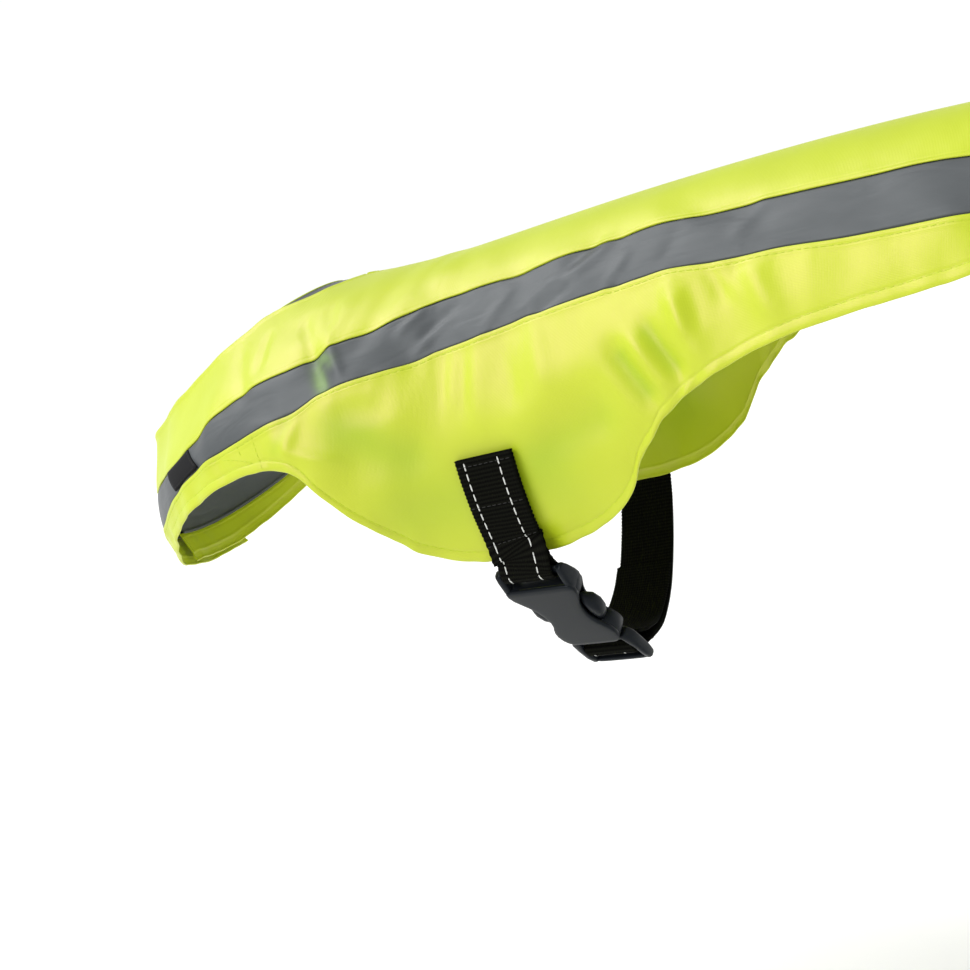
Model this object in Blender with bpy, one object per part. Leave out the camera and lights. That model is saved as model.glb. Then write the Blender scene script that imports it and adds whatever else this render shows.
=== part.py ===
"""Hi-vis safety vest for a dog, worn and fastened, as separate sewn pieces.

Metres, +Z up. The head end points to -X, the left side to -Y. The origin is on the inside of
the back, just in front of the belly strap, where the wearer's back carries the vest.
"""
import math

import bmesh
import bpy
from mathutils import Vector

MM = 0.001

# cloth walls and the gaps between pieces
CLOTH_THICK = 1.5 * MM
STRIPE_THICK = 1.3 * MM
NAPE_THICK = 1.2 * MM
LABEL_THICK = 0.8 * MM
PATCH_THICK = 0.9 * MM
PIECE_GAP = 0.3 * MM

# webbing and buckle
WEB_WIDTH = 25.0 * MM
WEB_THICK = 1.4 * MM
STRAP_X = 16.0 * MM
STRAP_CLEAR = 1.0 * MM      # under the webbing at its middle, because the panel curves below it
BUCKLE_WIDTH = 34.0 * MM
BUCKLE_THICK = 10.0 * MM
BUCKLE_TILT = 41.0          # degrees from straight down, towards the belly
BUCKLE_YAW = 11.0           # degrees towards the tail
BUCKLE_START = Vector((19.2, -65.0, -131.4)) * MM    # middle of the slot's lower lip
SOCKET_START = -8.0 * MM
SOCKET_LENGTH = 42.0 * MM
PLUG_HALF = 15.4 * MM
PLUG_END = 62.0 * MM
SLOT_HALF = 13.1 * MM
BAR_LENGTH = 3.2 * MM
SOCKET_BAR_ALONG = -6.4 * MM
BAR_HALF_THICK = 1.3 * MM
BAR_LOOP_RADIUS = 3.1 * MM    # middle of the webbing where it turns round a bar
MIDDLE_BAR_ALONG = 52.0 * MM

# mesh density
STEPS_PER_ROW = 3
BACK_ACROSS = 3
STRIPE_ACROSS = 2
SIDE_ACROSS = 6

# Rings round the torso of a general dog figure, in mm. Each ring is an ellipse in a plane that
# holds the line from its top point to its low point; widest is the share of that line at which
# the ring is widest. The front rings fan out, because the neck opening leans forward.
RING_COLUMNS = ("place", "top_x", "top_z", "low_x", "low_z", "half_width", "widest")
BREAST_FLAT = 4.2    # how much flatter the breast is than the rings, in mm
RINGS = (
    ("neckline", -75, 2.5, -184, -43, 39, 0.38),
    ("point of shoulder", -28, 0.2, -182, -98, 76, 0.48),
    ("elbow", -12, 0.2, -112, -153, 86, 0.50),
    ("girth", 0, 0, 0, -165, 73, 0.48),
    ("loin", 90, 3, 94, -162, 71, 0.44),
    ("hip", 180, 2, 180, -155, 67, 0.44),
    ("tail", 270, -4, 265, -145, 58, 0.45),
)

# Seam lines of one half, from the end of the chest arm over the shoulder to the tail. A line's
# place is its ring number (0 is the neckline, 6 the tail) and its angle down from the spine.
SEAM_COLUMNS = ("place", "inner_ring", "inner_angle", "upper_ring", "upper_angle",
                "lower_ring", "lower_angle", "hem_ring", "hem_angle")
SEAMS = (
    ("arm end", 0.00, 196, 0.50, 196, 0.84, 196, 1.08, 196),
    ("chest centre", 0.00, 180, 0.50, 180, 0.84, 180, 1.08, 180),
    ("chest round", 0.00, 158, 0.53, 154, 0.86, 151, 1.07, 152),
    ("chest side", 0.00, 136, 0.58, 131, 0.90, 126, 1.08, 130),
    ("label", 0.00, 118, 0.69, 113, 0.96, 108, 1.18, 110),
    ("arm", 0.00, 101, 0.75, 98, 1.05, 96, 1.32, 97),
    ("arm top", 0.00, 85, 0.78, 84.5, 1.19, 85.6, 1.50, 89),
    ("front dip", 0.00, 68, 0.89, 72, 1.37, 76.2, 1.70, 85),
    ("nape strip end", 0.00, 49, 1.11, 62, 1.57, 69.2, 1.93, 85),
    ("shoulder blade", 0.24, 29, 1.31, 54.2, 1.77, 62.2, 2.19, 91),
    ("nape centre", 0.36, 0, 1.62, 46.4, 2.20, 57.5, 2.48, 101),
    ("lobe front", 1.20, 0, 2.24, 41, 2.79, 57, 2.70, 111),
    ("lobe low front", 2.88, 0, 2.88, 40, 3.07, 56, 2.87, 116),
    ("strap front", 3.14, 0, 3.15, 39, 3.27, 56, 3.05, 118),
    ("strap rear", 3.36, 0, 3.36, 38, 3.47, 55, 3.31, 119),
    ("lobe low rear", 3.56, 0, 3.56, 38, 3.68, 55, 3.55, 117),
    ("lobe rear", 3.73, 0, 3.74, 37, 3.85, 55, 3.74, 111),
    ("lobe rise", 3.89, 0, 3.90, 37, 4.00, 55, 3.85, 103),
    ("rear dip", 4.06, 0, 4.07, 37, 4.16, 55, 4.02, 95),
    ("flank", 4.31, 0, 4.32, 38, 4.39, 57, 4.26, 89),
    ("flank rear", 4.58, 0, 4.59, 39, 4.64, 58, 4.56, 84),
    ("hip", 4.88, 0, 4.88, 40, 4.90, 60, 4.86, 82),
    ("rump", 5.36, 0, 5.35, 42, 5.34, 62, 5.30, 80),
    ("tail corner", 5.74, 0, 5.72, 43, 5.66, 63, 5.60, 76),
    ("tail end", 6.00, 0, 5.96, 43, 5.86, 63, 5.74, 70),
)

# Main creases of the cloth, as ridges (height above 0) and troughs seen from the side, in mm.
# Each runs from its start to its end and fades out; the right side has them at other heights.
CREASE_COLUMNS = ("place", "start_x", "start_z", "end_x", "end_z", "width", "left", "right")
CREASES = (
    ("rear dip ridge", 79, -38, 97, -70, 6, 2.0, 1.4),
    ("rear dip low trough", 70, -50, 90, -74, 6, -1.8, -1.2),
    ("rear dip high trough", 88, -42, 104, -68, 6, -1.8, -1.3),
    ("flank ridge", 102, -30, 112, -66, 7, 1.6, 1.9),
    ("flank trough", 120, -34, 126, -60, 9, -1.0, -1.5),
    ("front dip ridge", -74, -48, -50, -78, 9, 1.6, 2.0),
    ("shoulder trough", -52, -24, -62, -52, 8, -1.6, -1.0),
    ("lobe front ridge", -18, -42, -24, -92, 14, 1.8, 1.4),
    ("lobe front trough", -42, -48, -40, -84, 12, -1.4, -1.8),
    ("lobe rear ridge", 48, -44, 44, -96, 14, 1.4, 1.9),
    ("arm ridge", -104, -26, -112, -58, 8, 1.0, 1.4),
    ("back crease", 24, -6, 52, -26, 8, -1.0, -1.4),
    ("back ridge", 40, -6, 70, -26, 9, 1.2, 0.8),
    ("rump ridge", 190, -12, 214, -42, 12, 1.2, 1.6),
)

# The left arm laps over the right one past the chest centre.
LAP_START_ANGLE = 128.0
LAP_FULL_ANGLE = 162.0
PATCH_ANGLES = (-194.0, -166.0)
PATCH_RINGS = (0.16, 0.80)
PATCH_ALONG = 12
PATCH_ACROSS = 7

# webbing ends on the lobes, in degrees down from the spine
STRAP_TOP_ANGLE = 89.0
STRAP_LEAVE_ANGLE = 112.0


def clear_scene():
    for old in list(bpy.data.objects):
        bpy.data.objects.remove(old)


def columns(names, rows):
    """Each row as a dictionary by column name."""
    return [dict(zip(names, row)) for row in rows]


def smooth_rows(rows, names, place):
    """Values of the named columns between the rows of a table, on a Catmull-Rom curve."""
    last = len(rows) - 1
    low = min(max(int(math.floor(place)), 0), last - 1)
    share = place - low
    values = []
    for name in names:
        middle = [rows[low][name], rows[low + 1][name]]
        before = rows[low - 1][name] if low > 0 else 2 * middle[0] - middle[1]
        after = rows[low + 2][name] if low + 2 <= last else 2 * middle[1] - middle[0]
        values.append(0.5 * (2 * middle[0] + (middle[1] - before) * share
                             + (2 * before - 5 * middle[0] + 4 * middle[1] - after) * share ** 2
                             + (3 * middle[0] - before - 3 * middle[1] + after) * share ** 3))
    return values


RING_ROWS = columns(RING_COLUMNS, RINGS)
SEAM_ROWS = columns(SEAM_COLUMNS, SEAMS)
CREASE_ROWS = columns(CREASE_COLUMNS, CREASES)


def torso_point(ring, angle):
    """Point on the inside of the vest; the angle is negative on the left side."""
    top_x, top_z, low_x, low_z, half_width, widest = smooth_rows(
        RING_ROWS, RING_COLUMNS[1:], ring)
    turn = math.radians(angle)
    down = widest * (1 - math.cos(turn))
    if math.cos(turn) < 0:
        down = widest - (1 - widest) * math.cos(turn)
    front = min(max((2.0 - ring) / 0.8, 0.0), 1.0)
    breast = min(max((-math.cos(turn) - 0.40) / 0.50, 0.0), 1.0)
    flat = front * front * (3 - 2 * front) * breast * breast * (3 - 2 * breast)
    x = top_x + (low_x - top_x) * down + BREAST_FLAT * flat
    z = top_z + (low_z - top_z) * down
    return Vector((x, half_width * math.sin(turn), z)) * MM


def torso_normal(ring, angle):
    """Direction straight out of the torso."""
    ring_step = 0.01
    angle_step = 0.5
    along = torso_point(ring + ring_step, angle) - torso_point(ring - ring_step, angle)
    round_body = torso_point(ring, angle + angle_step) - torso_point(ring, angle - angle_step)
    return along.cross(round_body).normalized()


def crease_height(point):
    """How far the creases push the cloth out at a point."""
    x = point.x / MM
    z = point.z / MM
    side = "left" if point.y < 0 else "right"
    height = 0.0
    for crease in CREASE_ROWS:
        run_x = crease["end_x"] - crease["start_x"]
        run_z = crease["end_z"] - crease["start_z"]
        length = math.hypot(run_x, run_z)
        away_x = x - crease["start_x"]
        away_z = z - crease["start_z"]
        along = (away_x * run_x + away_z * run_z) / length
        across = (away_x * run_z - away_z * run_x) / length
        middle = (along - length / 2) / (length / 2)
        fade = math.exp(-middle ** 4)
        height += crease[side] * fade * math.exp(-(across / crease["width"]) ** 2)
    spine_fade = min(abs(point.y) / (20 * MM), 1.0)
    return height * spine_fade * MM


def lap_height(angle):
    """Extra height of the left arm where it lies on the right arm and the fastener."""
    full = CLOTH_THICK + 2 * PATCH_THICK + 4 * PIECE_GAP
    share = (-angle - LAP_START_ANGLE) / (LAP_FULL_ANGLE - LAP_START_ANGLE)
    share = min(max(share, 0.0), 1.0)
    return full * share * share * (3 - 2 * share)


def cloth_point(ring, angle, height, lapped=False):
    """Point at a height over the torso, with the creases, and its outward direction."""
    base = torso_point(ring, angle)
    normal = torso_normal(ring, angle)
    height += crease_height(base)
    if lapped:
        height += lap_height(angle)
    return base + normal * height


def seam_lines(side, names):
    """Places on the named seam lines, row by row, for one half of the vest."""
    lines = []
    steps = (len(SEAM_ROWS) - 1) * STEPS_PER_ROW
    for step in range(steps + 1):
        row = []
        for name in names:
            ring, angle = smooth_rows(
                SEAM_ROWS, (name + "_ring", name + "_angle"), step / STEPS_PER_ROW)
            row.append((ring, side * max(angle, 0.0)))
        lines.append(row)
    return lines


def place_between(first, second, share):
    return tuple(a + (b - a) * share for a, b in zip(first, second))


def strip_places(side, first, second, across, first_gap, second_gap):
    """Grid of places between two seam lines, drawn in by half a gap at each seam."""
    grid = []
    for start, end in seam_lines(side, (first, second)):
        width = (torso_point(*end) - torso_point(*start)).length
        low = first_gap / width
        high = 1 - second_gap / width
        row = []
        for step in range(across + 1):
            share = low + (high - low) * step / across
            row.append(place_between(start, end, share))
        grid.append(row)
    return grid


def new_material(name, color, roughness, metallic=0.0):
    material = bpy.data.materials.new(name)
    material.use_nodes = True
    shader = material.node_tree.nodes["Principled BSDF"]
    shader.inputs["Base Color"].default_value = (*color, 1.0)
    shader.inputs["Roughness"].default_value = roughness
    shader.inputs["Metallic"].default_value = metallic
    return material


def finish_object(name, mesh_data, material, flat_angle=40):
    bmesh.ops.remove_doubles(mesh_data, verts=mesh_data.verts, dist=0.02 * MM)
    bmesh.ops.recalc_face_normals(mesh_data, faces=mesh_data.faces)
    mesh = bpy.data.meshes.new(name)
    mesh_data.to_mesh(mesh)
    mesh_data.free()
    mesh.shade_smooth()
    mesh.set_sharp_from_angle(angle=math.radians(flat_angle))
    mesh.materials.append(material)
    obj = bpy.data.objects.new(name, mesh)
    bpy.context.collection.objects.link(obj)
    return obj


def cloth_wall(name, grids, inside, outside, material, lapped=False):
    """Closed wall over one or more grids of places that may share an edge."""
    numbers = {}
    places = []
    faces = []

    def number(place):
        key = (round(place[0], 5), round(place[1], 4))
        if key not in numbers:
            numbers[key] = len(places)
            places.append(place)
        return numbers[key]

    for grid in grids:
        for row, next_row in zip(grid, grid[1:]):
            for step in range(len(row) - 1):
                corners = (row[step], row[step + 1], next_row[step + 1], next_row[step])
                faces.append([number(corner) for corner in corners])
    mesh_data = bmesh.new()
    low = [mesh_data.verts.new(cloth_point(*place, inside, lapped)) for place in places]
    high = [mesh_data.verts.new(cloth_point(*place, outside, lapped)) for place in places]
    edge_faces = {}
    for face in faces:
        mesh_data.faces.new([high[corner] for corner in face])
        mesh_data.faces.new([low[corner] for corner in reversed(face)])
        for start, end in zip(face, face[1:] + face[:1]):
            edge_faces.setdefault(frozenset((start, end)), []).append((start, end))
    for uses in edge_faces.values():
        if len(uses) == 1:
            start, end = uses[0]
            mesh_data.faces.new((high[start], low[start], low[end], high[end]))
    return finish_object(name, mesh_data, material)


def seam_step(place):
    """Number of the seam_lines row at a named place."""
    return [row["place"] for row in SEAM_ROWS].index(place) * STEPS_PER_ROW


def nape_steps():
    return seam_step("nape strip end"), seam_step("nape centre")


def make_back_panel(material):
    """Centre of the vest: both arms round the neck, and the cloth along the spine."""
    half_gap = PIECE_GAP / 2
    nape_first, nape_last = nape_steps()
    grids = []
    for side in (-1, 1):
        grid = strip_places(side, "upper", "inner", BACK_ACROSS, half_gap, 0.0)
        for step in range(nape_first, nape_last):
            start = grid[step][0]
            end = grid[step][-1]
            width = (torso_point(*end) - torso_point(*start)).length
            for index in range(1, BACK_ACROSS + 1):
                share = index / BACK_ACROSS * (1 - half_gap / width)
                grid[step][index] = place_between(start, end, share)
        grids.append(grid)
    return cloth_wall("back_panel", grids, 0.0, CLOTH_THICK, material, lapped=True)


def make_stripe(name, side, material):
    half_gap = PIECE_GAP / 2
    grid = strip_places(side, "upper", "lower", STRIPE_ACROSS, half_gap, half_gap)
    return cloth_wall(name, [grid], 0.0, STRIPE_THICK, material, lapped=True)


def make_side_panel(name, side, material):
    half_gap = PIECE_GAP / 2
    grid = strip_places(side, "lower", "hem", SIDE_ACROSS, half_gap, 0.0)
    return cloth_wall(name, [grid], 0.0, CLOTH_THICK, material, lapped=True)


def make_nape_strip(material):
    """Crescent between the neckline and the back panel, over the back of the neck."""
    first, last = nape_steps()
    inner = [row[0] for row in seam_lines(-1, ("inner",))][first:last + 1]
    curve = inner + [(ring, -angle) for ring, angle in reversed(inner[:-1])]
    grid = []
    for ring, angle in curve[1:-1]:
        far = max(ring - 0.012, 0.02)
        grid.append([(far * share / 3, angle) for share in range(4)])
    return cloth_wall("nape_strip", [grid], 0.0, NAPE_THICK, material)


def make_label(material):
    """Blank woven label on the left stripe, near the chest."""
    lines = seam_lines(-1, ("upper", "lower"))
    start = seam_step("label") - 1
    grid = []
    for upper, lower in lines[start:start + 4]:
        grid.append([place_between(upper, lower, share) for share in (0.06, 0.5, 0.94)])
    low = STRIPE_THICK + PIECE_GAP
    return cloth_wall("label_blank", [grid], low, low + LABEL_THICK, material, lapped=True)


def make_chest_patches(material):
    """Loop patch on the right arm and hook patch under the left one."""
    for number, name in enumerate(("chest_loop_patch", "chest_hook_patch")):
        low = CLOTH_THICK + PIECE_GAP + number * (PATCH_THICK + PIECE_GAP)
        grid = []
        for step in range(PATCH_ALONG + 1):
            angle = PATCH_ANGLES[0] + (PATCH_ANGLES[1] - PATCH_ANGLES[0]) * step / PATCH_ALONG
            row = []
            for across in range(PATCH_ACROSS + 1):
                ring = PATCH_RINGS[0] + (PATCH_RINGS[1] - PATCH_RINGS[0]) * across / PATCH_ACROSS
                row.append((ring, angle))
            grid.append(row)
        cloth_wall(name, [grid], low, low + PATCH_THICK, material)


def section_point(angle, height, x=STRAP_X):
    """Point of the torso section under the belly strap, at a height over it."""
    ring = 3.0
    for _ in range(12):
        point = torso_point(ring, angle)
        ring += (x - point.x) / (90 * MM)
    return torso_point(ring, angle) + torso_normal(ring, angle) * height


def buckle_point(along, out, across=0.0):
    """Point in the buckle's own axes: along its length, out from the body, across it."""
    tilt = math.radians(BUCKLE_TILT)
    yaw = math.radians(BUCKLE_YAW)
    level = Vector((math.sin(yaw), math.cos(yaw), 0))
    sideways = Vector((math.cos(yaw), -math.sin(yaw), 0))
    down = Vector((0, 0, -1))
    return (BUCKLE_START + along * (math.sin(tilt) * level + math.cos(tilt) * down)
            + out * (math.sin(tilt) * down - math.cos(tilt) * level) + across * sideways)


def section_knot(angle, height, x=STRAP_X):
    """Place on the strap's way round the body, lying square to the body (last value 0)."""
    return Vector((*section_point(angle, height, x), 0.0))


def buckle_knot(along, out):
    """Place on the strap's way through the buckle, lying square to the buckle (last value 1)."""
    return Vector((*buckle_point(along, out), 1.0))


def smooth_path(points, per_span):
    """Curve through the points."""
    path = []
    for number in range(len(points) - 1):
        p1 = points[number]
        p2 = points[number + 1]
        p0 = points[number - 1] if number > 0 else 2 * p1 - p2
        p3 = points[number + 2] if number + 2 < len(points) else 2 * p2 - p1
        for step in range(per_span):
            share = step / per_span
            path.append(0.5 * (2 * p1 + (p2 - p0) * share
                               + (2 * p0 - 5 * p1 + 4 * p2 - p3) * share ** 2
                               + (3 * p1 - p0 - 3 * p2 + p3) * share ** 3))
    path.append(points[-1])
    return path


def arc_points(centre_along, centre_out, radius, start, end, count):
    """Points round a buckle bar; angles in degrees, 0 along the buckle, 90 outwards."""
    points = []
    for step in range(count + 1):
        turn = math.radians(start + (end - start) * step / count)
        points.append(buckle_knot(centre_along + radius * math.cos(turn),
                                  centre_out + radius * math.sin(turn)))
    return points


def make_webbing(name, path, material):
    """Flat webbing of even width along a path of knots."""
    mesh_data = bmesh.new()
    rings = []
    for number, knot in enumerate(path):
        point = knot.to_3d()
        before = path[max(number - 1, 0)].to_3d()
        after = path[min(number + 1, len(path) - 1)].to_3d()
        direction = (after - before).normalized()
        yaw = math.radians(BUCKLE_YAW) * knot[3]
        across = Vector((math.cos(yaw), -math.sin(yaw), 0))
        across = (across - direction * direction.dot(across)).normalized()
        out = direction.cross(across).normalized()
        ring = []
        for side_x, side_out in ((-1, -1), (1, -1), (1, 1), (-1, 1)):
            corner = (point + across * side_x * WEB_WIDTH / 2
                      + out * side_out * WEB_THICK / 2)
            ring.append(mesh_data.verts.new(corner))
        rings.append(ring)
    for ring, next_ring in zip(rings, rings[1:]):
        for corner in range(4):
            follow = (corner + 1) % 4
            mesh_data.faces.new((ring[corner], ring[follow],
                                 next_ring[follow], next_ring[corner]))
    mesh_data.faces.new(rings[0])
    mesh_data.faces.new(rings[-1])
    return finish_object(name, mesh_data, material)


def make_left_strap(material):
    """Webbing doubled over the lobe, its loop round the end bar of the buckle socket."""
    under = CLOTH_THICK + STRAP_CLEAR + WEB_THICK / 2
    over = under + WEB_THICK + PIECE_GAP
    down = []
    up = []
    for angle in (STRAP_TOP_ANGLE, 96.0, 104.0, STRAP_LEAVE_ANGLE):
        down.append(section_knot(-angle, over))
        up.append(section_knot(-angle, under))
    down.append(Vector((18.4 * MM, -73.0 * MM, -118.5 * MM, 0.4)))
    up.append(Vector((18.4 * MM, -71.2 * MM, -118.5 * MM, 0.4)))
    loop = arc_points(SOCKET_BAR_ALONG, 0.0, BAR_LOOP_RADIUS, 135, -120, 10)
    outer = smooth_path(down + loop[:1], 3)
    inner = smooth_path(loop[-1:] + up[::-1], 3)
    return make_webbing("belly_strap_left", outer + loop[1:-1] + inner, material)


def make_right_strap(material):
    """Webbing from the right lobe round the belly, through the plug, its tail turned back."""
    under = CLOTH_THICK + STRAP_CLEAR + WEB_THICK / 2
    bar = MIDDLE_BAR_ALONG
    start = []
    for angle in (STRAP_TOP_ANGLE, 96.0, 104.0, STRAP_LEAVE_ANGLE, 124.0):
        start.append(section_knot(angle, under))
    belly = [section_knot(140.0, 2.6 * MM, 16.8 * MM), section_knot(158.0, 3.6 * MM, 18.8 * MM),
             section_knot(175.0, 5.6 * MM, 21.5 * MM), buckle_knot(bar + 8.0 * MM, -7.2 * MM),
             buckle_knot(bar + 4.4 * MM, -2.6 * MM)]
    incoming = smooth_path(start + belly, 3)
    loop = arc_points(bar, 0.0, BAR_LOOP_RADIUS, 0, 190, 8)
    tail = smooth_path([buckle_knot(bar - 2.6 * MM, -3.0 * MM), buckle_knot(bar, -6.2 * MM),
                        buckle_knot(bar + 4.0 * MM, -9.4 * MM),
                        section_knot(178.0, 3.0 * MM, 21.5 * MM),
                        section_knot(162.0, 1.4 * MM, 19.0 * MM),
                        section_knot(150.0, 0.6 * MM, 17.8 * MM)], 3)
    return make_webbing("belly_strap_right", incoming + loop + tail, material)


def box_corners(low_along, high_along, low_out, high_out, low_x, high_x):
    corners = []
    for along in (low_along, high_along):
        for out in (low_out, high_out):
            for x in (low_x, high_x):
                corners.append(buckle_point(along, out, x))
    return corners


def buckle_block(name, low_along, high_along, low_out, high_out, low_x, high_x):
    """Block in the buckle's own axes, for cutting away or joining on."""
    mesh_data = bmesh.new()
    verts = [mesh_data.verts.new(corner) for corner in box_corners(
        low_along, high_along, low_out, high_out, low_x, high_x)]
    for face in ((0, 1, 3, 2), (4, 6, 7, 5), (0, 4, 5, 1), (2, 3, 7, 6), (0, 2, 6, 4),
                 (1, 5, 7, 3)):
        mesh_data.faces.new([verts[index] for index in face])
    bmesh.ops.recalc_face_normals(mesh_data, faces=mesh_data.faces)
    mesh = bpy.data.meshes.new(name)
    mesh_data.to_mesh(mesh)
    mesh_data.free()
    obj = bpy.data.objects.new(name, mesh)
    bpy.context.collection.objects.link(obj)
    obj.display_type = "WIRE"
    obj.hide_render = True
    return obj


def combine(body, other, operation):
    modifier = body.modifiers.new(other.name, "BOOLEAN")
    modifier.operation = operation
    modifier.object = other
    modifier.solver = "EXACT"


def outline_solid(name, outline, profile, material):
    """Outline in along and half width, mirrored, given a crowned thickness by its profile."""
    mesh_data = bmesh.new()
    loop = list(outline) + [(along, -half) for along, half in reversed(outline)]
    layers = []
    for out, inset in profile:
        layer = []
        for along, half in loop:
            middle = (loop[0][0] + loop[len(outline) - 1][0]) / 2
            pulled = along + (inset if along < middle else -inset)
            narrow = half - math.copysign(inset, half)
            layer.append(mesh_data.verts.new(buckle_point(pulled, out, narrow)))
        layers.append(layer)
    count = len(loop)
    for layer, next_layer in zip(layers, layers[1:]):
        for corner in range(count):
            follow = (corner + 1) % count
            mesh_data.faces.new((layer[corner], layer[follow],
                                 next_layer[follow], next_layer[corner]))
    mesh_data.faces.new(layers[0])
    mesh_data.faces.new(layers[-1])
    return finish_object(name, mesh_data, material, flat_angle=30)


def make_socket(material):
    """Outer half of the side-release buckle: shell, strap bar, two side windows."""
    half = BUCKLE_WIDTH / 2
    thick = BUCKLE_THICK / 2
    outline = ((SOCKET_START, half - 2 * MM), (SOCKET_START + 2 * MM, half), (8 * MM, half),
               (17 * MM, half - 1.8 * MM),
               (30 * MM, half - 2.0 * MM), (38 * MM, half - 2.4 * MM),
               (SOCKET_LENGTH, half - 4.2 * MM))
    profile = ((-thick + 1 * MM, 1.2 * MM), (-thick + 2.2 * MM, 0.0),
               (thick - 2.2 * MM, 0.0), (thick, 1.6 * MM))
    socket = outline_solid("buckle_socket", outline, profile, material)
    cutters = (
        ("socket_slot", SOCKET_BAR_ALONG + BAR_LENGTH / 2, 0.0, -9 * MM, 9 * MM,
         -SLOT_HALF, SLOT_HALF),
        ("socket_bar_top", -12 * MM, -4 * MM, BAR_HALF_THICK, 9 * MM, -SLOT_HALF, SLOT_HALF),
        ("socket_bar_under", -12 * MM, -4 * MM, -9 * MM, -BAR_HALF_THICK,
         -SLOT_HALF, SLOT_HALF),
        ("socket_room", 12 * MM, 48 * MM, -2.2 * MM, 2.8 * MM, -12 * MM, 12 * MM),
        ("socket_windows", 17 * MM, 29 * MM, -2.2 * MM, 2.8 * MM, -20 * MM, 20 * MM),
    )
    for cutter in cutters:
        combine(socket, buckle_block(*cutter), "DIFFERENCE")
    return socket


def make_plug(material):
    """Inner half: frame with two bars for the webbing, and two prongs with release tabs."""
    half = PLUG_HALF
    start = SOCKET_LENGTH + PIECE_GAP
    outline = ((start, half - 2.6 * MM), (start + 4 * MM, half - 0.4 * MM),
               (PLUG_END - 6 * MM, half), (PLUG_END - 1.5 * MM, half - 0.8 * MM),
               (PLUG_END, half - 3 * MM))
    profile = ((-2.2 * MM, 0.8 * MM), (-1.4 * MM, 0.0), (2.0 * MM, 0.0), (3.2 * MM, 1.2 * MM))
    plug = outline_solid("buckle_plug", outline, profile, material)
    bar_low = MIDDLE_BAR_ALONG - BAR_LENGTH / 2
    bar_high = MIDDLE_BAR_ALONG + BAR_LENGTH / 2
    cutters = (
        ("plug_slot_near", start + 2.5 * MM, bar_low, -9 * MM, 9 * MM),
        ("plug_slot_end", bar_high, PLUG_END - 2.8 * MM, -9 * MM, 9 * MM),
        ("plug_bar_top", bar_low - 2 * MM, bar_high + 3 * MM, BAR_HALF_THICK, 9 * MM),
        ("plug_bar_under", bar_low - 2 * MM, bar_high + 3 * MM, -9 * MM, -BAR_HALF_THICK),
    )
    for cutter in cutters:
        combine(plug, buckle_block(*cutter, -SLOT_HALF, SLOT_HALF), "DIFFERENCE")
    for side, word in ((-1, "left"), (1, "right")):
        prong = sorted((side * 7.0 * MM, side * 10.0 * MM))
        tab = sorted((side * 6.8 * MM, side * 16.0 * MM))
        arm = buckle_block("plug_prong_" + word, 26 * MM, start + 2 * MM,
                           -1.6 * MM, 2.2 * MM, prong[0], prong[1])
        button = buckle_block("plug_tab_" + word, 17.6 * MM, 28.4 * MM,
                              -1.8 * MM, 2.4 * MM, tab[0], tab[1])
        combine(plug, arm, "UNION")
        combine(plug, button, "UNION")
    return plug


def main():
    clear_scene()
    yellow = new_material("hi_vis_polyester", (0.72, 0.80, 0.05), 0.55)
    grey = new_material("reflective_tape", (0.18, 0.19, 0.20), 0.38, 0.35)
    black_web = new_material("black_webbing", (0.010, 0.010, 0.009), 0.80)
    black_plastic = new_material("black_acetal", (0.030, 0.032, 0.036), 0.42)
    label_cloth = new_material("label_weave", (0.020, 0.020, 0.022), 0.75)
    fastener = new_material("hook_and_loop", (0.55, 0.62, 0.06), 0.85)
    make_back_panel(yellow)
    make_stripe("stripe_left", -1, grey)
    make_stripe("stripe_right", 1, grey)
    make_side_panel("side_panel_left", -1, yellow)
    make_side_panel("side_panel_right", 1, yellow)
    make_nape_strip(grey)
    make_label(label_cloth)
    make_chest_patches(fastener)
    make_left_strap(black_web)
    make_right_strap(black_web)
    make_socket(black_plastic)
    make_plug(black_plastic)


main()
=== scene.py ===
import math

import bmesh
import bpy
import numpy as np
from mathutils import Matrix, Vector


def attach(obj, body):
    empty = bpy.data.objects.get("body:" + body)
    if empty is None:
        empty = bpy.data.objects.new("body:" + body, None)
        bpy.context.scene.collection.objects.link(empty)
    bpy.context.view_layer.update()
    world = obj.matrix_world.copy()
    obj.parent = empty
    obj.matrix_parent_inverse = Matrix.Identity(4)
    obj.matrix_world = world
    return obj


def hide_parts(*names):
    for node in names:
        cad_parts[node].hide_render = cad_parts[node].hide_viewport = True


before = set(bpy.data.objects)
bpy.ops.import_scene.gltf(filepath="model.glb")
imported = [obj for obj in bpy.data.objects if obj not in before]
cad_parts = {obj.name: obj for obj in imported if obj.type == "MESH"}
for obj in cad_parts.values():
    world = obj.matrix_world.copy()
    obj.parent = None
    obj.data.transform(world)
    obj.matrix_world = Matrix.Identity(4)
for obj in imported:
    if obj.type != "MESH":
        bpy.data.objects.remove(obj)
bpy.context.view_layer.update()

mm = 0.001
cloth = {                 # mm
    "top": 1.5,           # from the body to the outside of the yellow cloth
    "stripeTop": 1.3, "napeTop": 1.2, "thick": 0.9, "patchThick": 0.9,
    "gap": 0.3,           # between two sewn pieces
    "hemStitch": 4.6,     # from a hem's edge to its stitching
    "seamStitch": 2.1,    # from a folded seam to its stitching
    "allowance": 1.2,     # how far the tape reaches under the cloth beside it
    # angle where the left arm starts to rise onto the right one, and over how many degrees
    "lapAngles": (128.0, 34.0),
    # unevenness: height, length along and its shift, length across and its shift
    "waves": ((0.45, 24, 7, 19, 3), (0.14, 9, 5, 12, 2)),
    "seamWave": (0.4, 9, 5),          # height, length and reach of the waves that a seam shares
    # lumps where the lobe rises: height, length, reach from the hem and spread along it
    "hemLumps": (1.5, 4.6, 4, 30),
    "hemWander": (0.6, 5, 0.25),      # how far a hem wanders, its length, share away from there
    "rim": (0.6, 0.25)}               # share of the thickness that a rim rounds over, and keeps
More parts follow.
